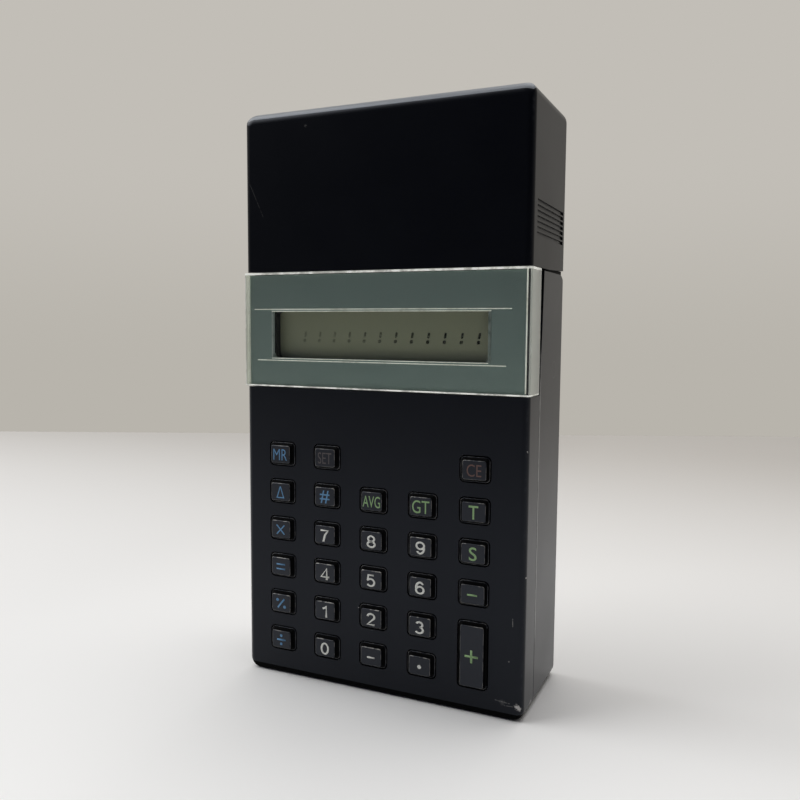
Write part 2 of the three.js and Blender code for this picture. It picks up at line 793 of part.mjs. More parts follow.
// Link on the left: one plate that joins both cells, with a bent leaf spring for each
function contactLink() {
  const plateLeft = -contactPlane - contactThickness;
  const plateRight = -contactPlane;
  const [front, back] = [cellDepth - cellRadius / 2, cellDepth + cellRadius / 2];
  const plate = block(
    plateLeft, plateRight, front, back, bayBottom + wall, upperBayBottom + bayHeight - wall,
  );
  const leaf = new THREE.Shape();
  leaf.moveTo(plateRight - contactThickness / 2, front);
  leaf.lineTo(plateRight + leafLength, cellDepth);
  leaf.lineTo(plateRight - contactThickness / 2, back);
  const inner = new THREE.Path();
  inner.moveTo(plateRight, front + 2 * contactThickness);
  inner.lineTo(plateRight, back - 2 * contactThickness);
  inner.lineTo(plateRight + leafLength - 2 * contactThickness, cellDepth);
  leaf.holes.push(inner);
  const leaves = [bayBottom, upperBayBottom].map((bottom) => {
    const middle = bottom + bayHeight / 2;
    return levelPrism(leaf, middle - leafWidth / 2, middle + leafWidth / 2);
  });
  return join(plate, ...leaves);
}

addPart('contact_link', contactLink(), springBrass);

// Power switch: a knob in the slot of the left wall, and its body on the board
function switchKnob() {
  const knob = block(
    -halfWidth - knobStepDepth, -innerHalfWidth + fit + knobFlangeThickness,
    switchMiddle - knobWidth / 2, switchMiddle + knobWidth / 2, switchRise, switchRise + knobLength,
  );
  const flangeLeft = -innerHalfWidth + fit;
  const flange = block(
    flangeLeft, flangeLeft + knobFlangeThickness,
    switchMiddle - knobWidth / 2 - knobFlangeLapWidth, switchMiddle + knobWidth / 2 + knobFlangeLapWidth,
    switchRise - switchTravelLength - knobFlangeLapWidth,
    switchRise + knobLength + switchTravelLength + knobFlangeLapWidth,
  );
  return join(knob, flange);
}

addPart('power_switch_knob', switchKnob(), blackKey);
const switchBodyLeft = -innerHalfWidth + 2 * fit + knobFlangeThickness;
addPart(
  'power_switch_body',
  block(
    switchBodyLeft, switchBodyLeft + switchBodyWidth, boardBack + fit, switchMiddle + knobWidth / 2 + wall,
    switchRise - wall, switchRise + knobLength + switchTravelLength + wall,
  ),
  steel,
);

// The origin moves to the middle of the part's box
calculator.position.y = -(bodyDepth - buttonHeight) / 2;

export default calculator;
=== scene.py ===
# %% [markdown]
# This lesson dresses a pocket business calculator. It stands on its bottom end, with a tall cap
# that pulls off, a metal display band under a clear cover, and 27 raised keys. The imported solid
# model is loaded as a fixed frame, and all pieces are in metres in it: X to the right, Y into the
# body, Z up. So a piece finds its place by asking for the box of the solid that it dresses.

import json
import math

import bmesh
import bpy
from mathutils import Matrix, Vector

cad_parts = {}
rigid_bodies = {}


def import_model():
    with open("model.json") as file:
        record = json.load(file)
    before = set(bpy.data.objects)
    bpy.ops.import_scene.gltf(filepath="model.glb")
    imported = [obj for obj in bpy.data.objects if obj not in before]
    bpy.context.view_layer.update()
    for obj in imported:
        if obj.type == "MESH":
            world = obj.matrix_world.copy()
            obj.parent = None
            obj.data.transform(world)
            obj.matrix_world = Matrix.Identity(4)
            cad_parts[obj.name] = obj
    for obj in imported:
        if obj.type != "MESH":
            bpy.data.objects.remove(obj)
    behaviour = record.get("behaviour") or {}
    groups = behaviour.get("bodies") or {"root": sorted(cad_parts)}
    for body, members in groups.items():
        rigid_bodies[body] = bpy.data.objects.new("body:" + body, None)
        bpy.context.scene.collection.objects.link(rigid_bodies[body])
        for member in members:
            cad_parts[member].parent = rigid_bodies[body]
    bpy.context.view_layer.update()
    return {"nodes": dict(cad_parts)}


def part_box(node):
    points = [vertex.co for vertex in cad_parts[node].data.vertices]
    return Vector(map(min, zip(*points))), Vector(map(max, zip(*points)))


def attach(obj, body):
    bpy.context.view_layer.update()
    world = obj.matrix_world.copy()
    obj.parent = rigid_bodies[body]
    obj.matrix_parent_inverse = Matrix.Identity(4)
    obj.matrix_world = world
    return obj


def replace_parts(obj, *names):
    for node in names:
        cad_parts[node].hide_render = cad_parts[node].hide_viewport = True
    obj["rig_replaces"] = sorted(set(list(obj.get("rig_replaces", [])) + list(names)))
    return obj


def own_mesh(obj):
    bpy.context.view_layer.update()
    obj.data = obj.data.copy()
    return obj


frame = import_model()
nodes = frame["nodes"]
MM = 0.001
scene = bpy.context.scene
print("nodes loaded:", len(nodes))

# %% New objects
def add(name, data):
    """Puts an object with this data in the scene."""
    thing = bpy.data.objects.new(name, data)
    scene.collection.objects.link(thing)
    return thing


def make_piece(name, shape):
    """Turns a bmesh into an object at the origin."""
    mesh = bpy.data.meshes.new(name)
    shape.to_mesh(mesh)
    shape.free()
    return add(name, mesh)


# %% [markdown]
# The photograph was taken from a little to the right of the object and a little above its middle.
# The camera could be placed by eye, but here its position, turn and focal length were fitted to
# about sixty measured edges of the object, so that the render lies over the photograph.

# %% Camera
camera_place = Vector((0.09032, -0.20081, 0.09647))
yaw, pitch, roll = (math.radians(angle) for angle in (24.36, 5.10, 0.39))
sensor_width = 36
focal_pixels, picture_pixels = 805.28, 800
level = Vector((math.cos(yaw), math.sin(yaw), 0))
ahead = Vector((-level.y, level.x, 0)) * math.cos(pitch) - Vector((0, 0, math.sin(pitch)))
upright = level.cross(ahead)
right = level * math.cos(roll) + upright * math.sin(roll)
over = upright * math.cos(roll) - level * math.sin(roll)
camera = add("camera", bpy.data.cameras.new("camera"))
turned = Matrix((right, over, -ahead)).transposed().to_4x4()
camera.matrix_world = Matrix.Translation(camera_place) @ turned
camera.data.sensor_width = sensor_width
camera.data.lens = sensor_width * focal_pixels / picture_pixels
camera.data.clip_start = 0.005
scene.camera = camera
print("focal length in mm:", round(camera.data.lens, 2))

# %% [markdown]
# The floor is a pale table top. Its far edge runs across the picture behind the object, and past
# it there is only the plain light of the world, so no wall is in the way of the other views.
# Soft light could come from the world alone, but then nothing would have a shadow. So a large
# soft lamp hangs to the left and above, and a weaker one above and behind lights the top edges.

# %% Floor
far_edge, table_width = 0.73, 3.2
stand = Matrix.Translation((camera_place.x, camera_place.y, 0)) @ Matrix.Rotation(yaw, 4, "Z")
spread = Matrix.Diagonal((table_width, 2 * far_edge, 1, 1))
table_shape = bmesh.new()
bmesh.ops.create_grid(table_shape, x_segments=1, y_segments=1, size=0.5, matrix=stand @ spread)
table = make_piece("table_top", table_shape)
print("far edge of the table, in metres from the camera:", far_edge)

# %% Light
body_middle = Vector((0, 0, 0.07))


def soft_lamp(name, place, width, strength, tint):
    """A square area lamp that faces the middle of the body."""
    light = bpy.data.lights.new(name, "AREA")
    light.size, light.energy, light.color = width, strength, tint
    facing = (body_middle - Vector(place)).to_track_quat("-Z", "Y").to_matrix().to_4x4()
    add(name, light).matrix_world = Matrix.Translation(place) @ facing


soft_lamp("lamp_window", (-0.75, -0.25, 0.95), 0.9, 9.0, (0.98, 0.99, 1.0))
soft_lamp("lamp_ceiling", (0.15, 0.35, 1.3), 1.0, 7.0, (0.99, 0.99, 1.0))
scene.view_settings.view_transform = "Standard"

# %% [markdown]
# A finish is a set of shader nodes. Wiring them by hand hides the idea in a long list of calls,
# so two small classes are used. A Wire is the output of a node, and plain arithmetic with it
# makes the Math nodes. A Finish is one material, and makes any other node.

# %% Shader helpers
class Wire:
    """The output of a shader node, which can be used in plain arithmetic."""

    def __init__(self, finish, socket):
        self.finish, self.socket = finish, socket

    def _math(self, operation, first, second=0.0):
        return self.finish.node("Math", {0: first, 1: second}, operation=operation)

    def __rsub__(self, other):
        return self._math("SUBTRACT", other, self)

    __add__ = __radd__ = lambda self, other: self._math("ADD", self, other)
    __mul__ = __rmul__ = lambda self, other: self._math("MULTIPLY", self, other)
    __sub__ = lambda self, other: self._math("SUBTRACT", self, other)
    above = lambda self, other: self._math("MAXIMUM", self, other)
    below = lambda self, other: self._math("MINIMUM", self, other)
    size = lambda self: self._math("ABSOLUTE", self)


class Finish:
    """The nodes of one material, or of the world if that is given."""

    def __init__(self, name, world=None):
        self.owner = world or bpy.data.materials.new(name)
        self.owner.use_nodes = True
        self.tree = self.owner.node_tree
        self.tree.nodes.clear()
        self.place = self.node("TexCoord", out="Generated" if world else "Object")

    def node(self, kind, inputs=None, out=0, **settings):
        """Makes a node: its settings first, then the values or wires of its sockets."""
        made = self.tree.nodes.new("ShaderNode" + kind)
        for name, value in settings.items():
            setattr(made, name, value)
        for name, value in (inputs or {}).items():
            if isinstance(value, Wire):
                self.tree.links.new(value.socket, made.inputs[name])
            else:
                made.inputs[name].default_value = value
        return None if out is None else Wire(self, made.outputs[out])

    def vector(self, operation, first, second, out="Value"):
        """Vector arithmetic, which gives a number, or a vector where out is 0."""
        sockets = (0, "Scale") if operation == "SCALE" else (0, 1)
        return self.node("VectorMath", dict(zip(sockets, (first, second))), out, operation=operation)

    def noise(self, feature, detail=2.0, roughness=0.5, stretch=None):
        """Noise from 0 to 1 whose blobs are about one feature wide, in metres."""
        place = self.vector("MULTIPLY", self.place, stretch, 0) if stretch else self.place
        inputs = {"Vector": place, "Scale": 1 / feature, "Detail": detail, "Roughness": roughness}
        return self.node("TexNoise", inputs)

    def fade(self, value, low, high):
        """A smooth step: 0 where value is at low, 1 where it is at high."""
        inputs = {"Value": value, "From Min": low, "From Max": high}
        return self.node("MapRange", inputs, interpolation_type="SMOOTHSTEP")

    def drop(self, value, low, high):
        """A smooth step the other way: 1 where value is at low, 0 where it is at high."""
        return 1.0 - self.fade(value, low, high)

    def mix(self, share, first, second):
        """A colour between two, each a wire, a linear colour of four numbers or a tone of three."""
        first, second = (
            linear(*tone) if isinstance(tone, tuple) and len(tone) == 3 else tone
            for tone in (first, second)
        )
        return self.node("Mix", {0: share, 6: first, 7: second}, 2, data_type="RGBA")

    def part(self, vector, axis):
        """One number of a vector."""
        return self.node("SeparateXYZ", {0: vector}, axis)

    def along(self, axis):
        return self.part(self.place, axis)

    def facing(self):
        return self.node("TexCoord", out="Normal")

    def edges(self):
        """About 0 on flat faces that follow an axis and up to 0.4 on rounded edges and corners."""
        size = self.vector("ABSOLUTE", self.facing(), (0, 0, 0), 0)
        x, y, z = (self.part(size, axis) for axis in "XYZ")
        return 1.0 - x.above(y).above(z)

    def distance(self, point):
        """The distance from a point in metres."""
        return self.vector("DISTANCE", self.place, point)

    def scratch(self, start, end):
        """The distance from a straight scratch."""
        way = Vector(end) - Vector(start)
        out = self.vector("SUBTRACT", self.place, start, 0)
        share = self.vector("DOT_PRODUCT", out, way / way.length_squared).above(0.0).below(1.0)
        return self.vector("DISTANCE", out, self.vector("SCALE", way, share, 0))

    def shade(self, **values):
        """The main shader, with its sockets named in words joined by underscores."""
        return self.node("BsdfPrincipled", {name.replace("_", " "): values[name] for name in values})

    def end(self, shader, output="OutputMaterial"):
        self.node(output, {"Surface": shader}, None)
        return self.owner

    def coat(self, colour, roughness, height, depth, strength, **others):
        """Ends with the main shader alone, with a bump of this height, depth in mm and strength."""
        bump = self.node("Bump", {"Height": height, "Distance": depth * MM, "Strength": strength})
        return self.end(self.shade(Base_Color=colour, Roughness=roughness, Normal=bump, **others))

    def see_through(self, share, tint, shader):
        """Ends with a mix of clear and solid, where share is how much is solid."""
        clear = self.node("BsdfTransparent", {"Color": tint})
        return self.end(self.node("MixShader", {0: share, 1: clear, 2: shader}))


def linear(red, green, blue):
    """A colour as the eye reads it, from 0 to 255, in the linear values that shaders use."""
    parts = [part / 255 for part in (red, green, blue)]
    return tuple(p / 12.92 if p <= 0.04045 else ((p + 0.055) / 1.055) ** 2.4 for p in parts) + (1.0,)


print("a tone in linear values:", [round(part, 3) for part in linear(128, 128, 128)])

# %% [markdown]
# The room is only light. Its walls are a warm pale grey, a little lighter higher up, and the side
# that faces the object's front is dark, because a satin black front shows whatever it faces. The
# camera is always shown the pale walls, so that views from behind have them as their background.

# %% Room
scene.world = bpy.data.worlds.new("room")
room = Finish("room", scene.world)
height = room.fade(room.along("Z"), -0.05, 0.20)
walls = room.mix(height, (184, 180, 172), (194, 190, 183))
beside = room.fade(room.along("X"), 0.04, 0.16)
room_colour = room.mix(beside * 0.30, walls, (110, 107, 102))
faces_front = room.fade(room.vector("DOT_PRODUCT", room.place, (0.25, -0.95, 0.0)), -0.1, 0.75)
room_colour = room.mix(faces_front, room_colour, (0.030, 0.037, 0.060, 1))
seen = room.node("LightPath", out="Is Camera Ray")
room.end(room.node("Background", {"Color": room.mix(seen, room_colour, walls)}), "OutputWorld")
print("nodes of the room:", len(room.tree.nodes))

# %% [markdown]
# The casing is black styrene with a very fine satin grain. Years of pockets and desks have rubbed
# its edges a little grey and left a few scratches and chips. A band along the top front edge of
# the cap is a painted highlight, and so is a pale line just behind the seam of the shells.
# A plain black would look like a hole, so its colour drifts slightly, the grain breaks up the
# gloss, and the edges carry a thin worn line. The marks are distances from points and short lines,
# so they stay where the real ones are.

# %% Casing finish
front_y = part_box("front_shell")[0].y
black = linear(8, 9, 13)


def spot(x, y, z):
    """A point in mm from the middle of the foot of the front face, in the frame."""
    return (x * MM, front_y + y * MM, z * MM)


def casing_finish(name, gloss, dust, scratches, chips, ring=None, seam=None, rim=0.0):
    """Black satin plastic with worn edges, a painted highlight on the cap's top front edge where rim
    is given, and a painted highlight behind the seam where seam is given. Its marks are given in mm,
    with a width and a strength.
    """
    finish = Finish(name)
    cloud = finish.noise(0.018, 3.0)
    grain = finish.noise(0.00022, 2.0, 0.6)
    patch = finish.noise(0.0035, 4.0, 0.65)
    speckle = finish.noise(0.0005, 3.0, 0.7)
    base = finish.mix(cloud, tuple(0.8 * part for part in black[:3]) + (1,), black)
    worn = finish.fade(finish.edges(), 0.10, 0.30) * finish.fade(patch, 0.50, 0.72)
    colour = finish.mix(worn * 0.30, base, (70, 71, 74))
    for x, z, x_end, z_end, width, strength in scratches:
        gap = finish.scratch(spot(x, 0, z), spot(x_end, 0, z_end))
        mark = finish.drop(gap, 0.4 * width * MM, width * MM) * finish.fade(speckle, 0.38, 0.52)
        colour = finish.mix(mark * strength, colour, (168, 166, 164))
    for x, y, z, radius, strength in chips:
        near = finish.drop(finish.distance(spot(x, y, z)), 0.2 * radius * MM, radius * MM)
        mark = near * finish.fade(speckle + 0.20 * near, 0.56, 0.68)
        colour = finish.mix(mark * strength, colour, (206, 202, 198))
    # Painted highlight: a silver band on the upward-facing rounding of the cap's top front edge.
    if rim:
        near = finish.drop(finish.along("Y"), front_y + 2.4 * MM, front_y + 3.4 * MM)
        silver = finish.fade(finish.part(finish.facing(), "Z"), 0.40, 0.46) * near
        colour = finish.mix(silver * rim * (0.82 + 0.36 * grain), colour, (138, 142, 147))
    if ring:
        *middle, radius = ring
        gap = (finish.distance(spot(*middle)) - radius * MM).size()
        mark = finish.drop(gap, 0.05 * MM, 0.22 * MM)
        colour = finish.mix(mark * 0.12, colour, (150, 150, 150))
    # Painted highlight: a pale line just behind the seam, fading out towards the foot.
    if seam is not None:
        behind = finish.along("Y") - seam
        line = finish.fade(behind, -0.05 * MM, 0.02 * MM) * finish.drop(behind, 0.55 * MM, 0.75 * MM)
        wear_and_highlight = line * (0.55 + 0.45 * finish.fade(patch, 0.35, 0.60))
        wear_and_highlight = wear_and_highlight * finish.fade(finish.along("Z"), 15 * MM, 22 * MM)
        colour = finish.mix(wear_and_highlight * 0.50, colour, (190, 190, 186))
    return finish.coat(
        colour, 0.24 + 0.08 * cloud + 0.05 * grain, grain, 0.005, 0.5,
        Specular_IOR_Level=gloss,
        Specular_Tint=(0.76, 0.83, 1.0, 1),
        Sheen_Weight=dust,
        Sheen_Roughness=0.4,
    )


cap_scratches = [(-38.3, 134.7, -34.2, 126.0, 0.12, 0.10)]
cap_chips = [(-20.9, 0, 148.5, 0.7, 0.10)]
shell_scratches = [
    (37.05, 26.1, 37.1, 24.2, 0.12, 0.45),
    (33.0, 4.9, 36.6, 4.6, 0.16, 0.26),
    (35.4, 3.9, 37.6, 4.0, 0.14, 0.24),
]
shell_chips = [
    (38.5, 0.1, 4.2, 1.1, 0.85),
    (34.9, 0, 4.6, 1.2, 0.07),
    (-5.1, 0, 22.6, 0.3, 1.0),
    (39.0, 0.4, 3.6, 1.0, 0.8),
    (36.3, 0, 15.2, 0.3, 0.35),
    (39.75, 0.7, 67.2, 0.5, 1.0),
    (39.9, 1.1, 36.4, 0.4, 0.9),
    (40, 7.2, 2.5, 1.1, 1.0),
]
side_ring = (40, 23.7, 85.9, 2.15)
seam_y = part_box("rear_shell")[0].y
cap_finish = casing_finish("satin_black_cap", 0.18, 0.01, cap_scratches, cap_chips, rim=0.85)
shell_finish = casing_finish(
    "satin_black_shell", 0.25, 0.10, shell_scratches, shell_chips, side_ring, seam_y
)
print("casing finishes:", cap_finish.name, shell_finish.name)

# %% Painted shade: a near-black copy of the plastic for the foot, the collar and the walls of the keys
def painted_shade_finish():
    """The same plastic, nearly black and barely glossy: painted shade."""
    finish = Finish("key_skirt")
    grain = finish.noise(0.0003, 3.0, 0.6)
    return finish.coat(
        finish.mix(grain, (1, 1, 2), (4, 4, 5)),
        0.55 + 0.15 * grain,
        grain, 0.01, 0.5,
        Specular_IOR_Level=0.06,
    )


key_skirt = painted_shade_finish()
print("painted_dark finish:", key_skirt.name)

# %% [markdown]
# Most shells start as a box with rounded edges, which is then cut. With bmesh a cube is stretched
# to its box, edges are picked by their direction and bevelled, and cutters are taken away with an
# exact boolean. A last fine bevel breaks the sharp edges, so that they catch the light.

# %% Boxes with round edges
def stretch(shape, low, high):
    """Adds a box to a bmesh and returns its corners."""
    corners = bmesh.ops.create_cube(shape, size=1.0)["verts"]
    low, high = Vector(low), Vector(high)
    bmesh.ops.scale(shape, vec=high - low, verts=corners)
    bmesh.ops.translate(shape, vec=(low + high) / 2, verts=corners)
    return corners


def edges_along(corners, axis):
    """The edges at these corners that run along an axis: 0 is X, 1 is Y and 2 is Z."""
    found = []
    for edge in {edge for corner in corners for edge in corner.link_edges}:
        way = edge.verts[1].co - edge.verts[0].co
        if abs(way[axis]) > 0.999 * way.length:
            found.append(edge)
    return found


def on_plane(items, axis, level):
    """The edges or faces that lie in a plane across an axis."""
    return [item for item in items if all(abs(v.co[axis] - level) < 1e-6 for v in item.verts)]


def soften(shape, edges, radius, segments):
    """Rounds edges."""
    bmesh.ops.bevel(
        shape, geom=edges, offset=radius, offset_type="OFFSET", affect="EDGES",
        segments=segments, profile=0.5, material=-1, clamp_overlap=True,
    )


def tile(shape, low, high, radius, segments=5):
    """Adds a box whose four edges along Y are round."""
    soften(shape, edges_along(stretch(shape, low, high), 1), radius, segments)


def brick(low, high, corner, edge, segments=8):
    """A tile whose front and back rims are round too."""
    shape = bmesh.new()
    tile(shape, low, high, corner, segments)
    rims = on_plane(shape.edges, 1, low[1]) + on_plane(shape.edges, 1, high[1])
    soften(shape, rims, edge, 5)
    return shape


def block(low, high, moved=None, radius=0.0):
    """A box whose top back edge may be moved, so that one side leans, or rounded."""
    shape = bmesh.new()
    corners = stretch(shape, low, high)
    middle = (Vector(low) + Vector(high)) / 2
    top_back = [corner for corner in corners if corner.co.y > middle.y and corner.co.z > middle.z]
    if moved:
        bmesh.ops.translate(shape, vec=moved, verts=top_back)
    if radius:
        soften(shape, edges_along(top_back, 0), radius, 10)
    return shape


def rod(shape, x, z, radius, front, back, sides=32, tip=None):
    """Adds a round rod along Y, which may have another radius at its front end."""
    lay_down = Matrix.Rotation(math.pi / 2, 4, "X")
    place = Matrix.Translation((x, (front + back) / 2, z)) @ lay_down
    bmesh.ops.create_cone(
        shape, cap_ends=True, segments=sides, radius1=radius, radius2=tip or radius,
        depth=back - front, matrix=place,
    )


def middle_of(name):
    """The middle of a solid's box."""
    low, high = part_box(name)
    return (low + high) / 2


print("the body's middle in mm:", [round(part / MM, 1) for part in middle_of("front_shell")])

# %% Cutting and finishing
def baked(thing):
    """The mesh that an object shows, with what its modifiers do."""
    bpy.context.view_layer.update()
    ready = thing.evaluated_get(bpy.context.evaluated_depsgraph_get())
    return bpy.data.meshes.new_from_object(ready)


def combine(piece, shape, how="DIFFERENCE"):
    """Cuts a bmesh from a piece, joins it, or keeps what they share."""
    other = make_piece("other", shape)
    tool = piece.modifiers.new("combine", "BOOLEAN")
    tool.operation, tool.solver, tool.object = how, "EXACT", other
    old, piece.data = piece.data, baked(piece)
    piece.modifiers.clear()
    piece.data.name = piece.name
    bpy.data.meshes.remove(old)
    bpy.data.objects.remove(other)
    return piece


def clean(piece):
    """Merges doubles and turns the faces outwards."""
    closest = 2e-6
    shape = bmesh.new()
    shape.from_mesh(piece.data)
    bmesh.ops.remove_doubles(shape, verts=shape.verts, dist=closest)
    bmesh.ops.dissolve_degenerate(shape, edges=shape.edges, dist=closest)
    bmesh.ops.recalc_face_normals(shape, faces=shape.faces)
    shape.to_mesh(piece.data)
    shape.free()
    return piece


def break_edges(piece, width, angle):
    """Breaks the sharp edges with a fine bevel."""
    rounding = piece.modifiers.new("broken_edges", "BEVEL")
    rounding.limit_method = "ANGLE"
    rounding.angle_limit = math.radians(angle)
    rounding.width = width
    rounding.segments = 2
    return rounding


def smooth(piece, width=0.0):
    """Smooth shading, with sharp edges broken and flat faces kept flat."""
    for face in piece.data.polygons:
        face.use_smooth = True
    if width > 0:
        break_edges(piece, width, 32).miter_outer = "MITER_ARC"
    flat = piece.modifiers.new("flat_faces", "WEIGHTED_NORMAL")
    flat.keep_sharp = True
    flat.weight = 50
    return piece


def wear(piece, finish, body, slot, *replaced):
    """Gives a piece its finish, its body and the solids that it stands for. The slot is not used."""
    piece.data.materials.clear()
    piece.data.materials.append(finish)
    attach(piece, body)
    if replaced:
        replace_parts(piece, *replaced)
    print(piece.name, "has", len(piece.data.polygons), "faces")


# %% [markdown]
# The cap is one moulding with round corners, soft top edges at the front and back, and seven grip
# grooves low on each side. Its outside and inside are two bricks, and the second is cut out of the
# first. Solidify could make the walls, but in a moulding the inner corners are squarer.

# %% Cap
wall = 1.8 * MM
corner_radius, edge_radius, inner_radius = 3.0 * MM, 1.7 * MM, 0.6 * MM
shoulder_radius, brow_corner, brow_radius = 5 * MM, 4.5 * MM, 3.2 * MM
far, wide, overshoot, spare = 5 * MM, 45 * MM, 20 * MM, 1.6 * MM
cap_low, cap_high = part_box("cap")
cap_start = Vector((cap_low.x, cap_low.y, cap_low.z - overshoot))
cap = make_piece("cap_cover", brick(cap_start, cap_high, corner_radius, edge_radius))
back_low = (cap_low.x - far, cap_low.y - far, cap_low.z)
back_half = block(back_low, cap_high + Vector((far, 0, 0)), radius=shoulder_radius)
combine(cap, back_half, "INTERSECT")
brow = bmesh.new()
brow_low = (cap_low.x - spare, cap_low.y, cap_low.z - far)
tile(brow, brow_low, (cap_high.x + spare, cap_high.y + far, cap_high.z), brow_corner, 10)
soften(brow, on_plane(brow.edges, 1, cap_low.y), brow_radius, 10)
combine(cap, brow, "INTERSECT")
room_low, room_high = cap_start + Vector((wall, wall, 0)), cap_high - Vector((wall, wall, wall))
combine(cap, brick(room_low, room_high, corner_radius - wall, inner_radius, 4))
print("faces of the plain cap:", len(cap.data.polygons))

# %% Rising back edge of the cap, and its grip grooves
rise_y = cap_low.y + 17 * MM
rise = (0, 0, 0.95 * MM)
combine(cap, block((-wide, rise_y, cap_low.z - far), (wide, cap_high.y + far, cap_low.z), rise))
groove_pitch, groove_width, groove_depth = 1.28 * MM, 0.86 * MM, 0.42 * MM
groove_middle = cap_low.z + 11.6 * MM
grooves = bmesh.new()
for i in range(-3, 4):
    foot = groove_middle + i * groove_pitch - groove_width / 2
    for side in (-1, 1):
        inner, outer = sorted((side * (cap_high.x - groove_depth), side * (cap_high.x + far)))
        low = (inner, cap_low.y + 4 * MM, foot)
        stretch(grooves, low, (outer, cap_high.y - 3 * MM, foot + groove_width))
combine(cap, grooves)
smooth(clean(cap), 0.12 * MM)
wear(cap, cap_finish, "cap", "black_shell", "cap")

# %% [markdown]
# The front shell carries the key panel. Its 27 openings have small round corners, and a thin
# dark gap shows round each key. All the openings are cut at once from one mesh of rounded tiles.
# Above the panel the shell drops back to a seat for the display, which the band covers. Both
# shells are drawn in at the foot, so that the body stands on a small step in its own shadow, and
# the step wears the near-black finish of painted shade.

# %% Step round the foot
foot_height = 2.0 * MM
foot_inset = 0.5 * MM
shell_low, shell_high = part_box("front_shell")
rear_low, rear_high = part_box("rear_shell")


def cut_foot(piece):
    """Draws the lowest strip of a shell in."""
    body_low, body_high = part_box("front_shell")[0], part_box("rear_shell")[1]
    for axis in (0, 1):
        strips = bmesh.new()
        for edge, out in ((body_low[axis] + foot_inset, -far), (body_high[axis] - foot_inset, far)):
            outside = (body_low if out < 0 else body_high)[axis] + out
            low = Vector((body_low.x - far, body_low.y - far, -far))
            high = Vector((body_high.x + far, body_high.y + far, foot_height))
            low[axis], high[axis] = sorted((edge, outside))
            stretch(strips, low, high)
        combine(piece, strips)
    return piece


def wear_shell(piece, replaced):
    """Gives a shell its finish, and the step the near-black finish of painted shade."""
    wear(piece, shell_finish, "case", "black_shell", replaced)
    piece.data.materials.append(key_skirt)
    # The faces of the step are painted shade.
    for face in piece.data.polygons:
        if face.center.z < foot_height - 0.05 * MM:
            face.material_index = 1


print("height of the step in mm:", foot_height / MM)

# %% Front shell
panel_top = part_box("window_cover")[0].z - 0.3 * MM
panel_thickness, body_depth = 2.0 * MM, 33 * MM
gap = 0.3 * MM
front_high = (shell_high.x, shell_low.y + body_depth, panel_top + overshoot)
front = make_piece("front_case", brick(shell_low, front_high, corner_radius, edge_radius))
combine(front, block((-wide, shell_low.y - far, -far), (wide, shell_high.y, panel_top)), "INTERSECT")
band_low, band_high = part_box("display_plate")
seat_front = band_low.y + 0.8 * MM
seat_half = band_high.x - 0.8 * MM
seat_top = cap_low.z - 0.12 * MM
seat_low = (-seat_half, seat_front, panel_top - wall)
combine(front, block(seat_low, (seat_half, shell_high.y, seat_top)), "UNION")
room_low = (shell_low.x + wall, shell_low.y + panel_thickness, wall)
combine(front, block(room_low, (shell_high.x - wall, shell_high.y + far, panel_top - wall)))
room_low = (-seat_half + wall, seat_front + wall - gap / 2, panel_top - 2 * wall)
combine(front, block(room_low, (seat_half - wall, shell_high.y + far, seat_top + far)))
print("top of the key panel in mm:", round(panel_top / MM, 2))

# %% Key and window openings
key_names = [name for name in nodes if name.startswith("key_")]
flange = 0.4 * MM
opening_shift = 0.27 * MM
opening_growth = 0.2 * MM


def opening_of(name):
    """The edges of a key's opening: left, right, bottom and top."""
    low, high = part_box(name)
    longer = 0.45 * MM if name == "key_add" else 0.0
    bottom, top = low.z + flange - opening_growth - longer, high.z - flange + opening_growth
    return low.x + flange - opening_shift, high.x - flange - opening_shift, bottom, top


holes = bmesh.new()
for name in key_names:
    left, right_edge, bottom, top = opening_of(name)
    low = (left, shell_low.y - far, bottom)
    tile(holes, low, (right_edge, shell_low.y + panel_thickness + gap, top), 1.35 * MM, 6)
pane_low, pane_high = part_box("lcd_reflector")
margin = 1.2 * MM + gap
window_low = (pane_low.x - margin, seat_front - far, pane_low.z - margin)
window_high = (pane_high.x + margin, seat_front + wall + gap, pane_high.z + margin)
tile(holes, window_low, window_high, 2.4 * MM)
combine(front, holes)
smooth(clean(cut_foot(front)), 0.13 * MM)
wear_shell(front, "front_shell")
print("openings cut:", len(key_names) + 1)

# %% [markdown]
# The rear shell is the deep half. Its front edge leans back beside the display band, which leaves
# a wedge of shadow there, wide at the top. Its back is plain, with a shallow bare recess and four
# deep screw holes. It is made as the cap was, and its seam with the front shell stays a fine gap.

# %% Rear shell
rear_start = (rear_low.x, shell_low.y, 0)
rear_end = (rear_high.x, rear_high.y, rear_high.z + overshoot)
rear = make_piece("rear_case", brick(rear_start, rear_end, corner_radius, edge_radius))
rear_high.z -= 0.2 * MM
past_back = rear_high.y + far
combine(rear, block((-wide, rear_low.y, -far), (wide, past_back, rear_high.z)), "INTERSECT")
back_low = (rear_low.x - far, shell_low.y - far, -far)
combine(rear, block(back_low, rear_high + Vector((far, 0, 0)), radius=4.8 * MM), "INTERSECT")
lean = (0, 2.2 * MM, 0)
lean_low = (-wide, rear_low.y - far, panel_top)
combine(rear, block(lean_low, (wide, rear_low.y, rear_high.z + far), lean))
room_low = (rear_low.x + wall, rear_low.y - far, wall)
combine(rear, block(room_low, (rear_high.x - wall, rear_high.y - wall, rear_high.z + far)))
print("top of the rear shell in mm:", round(rear_high.z / MM, 2))

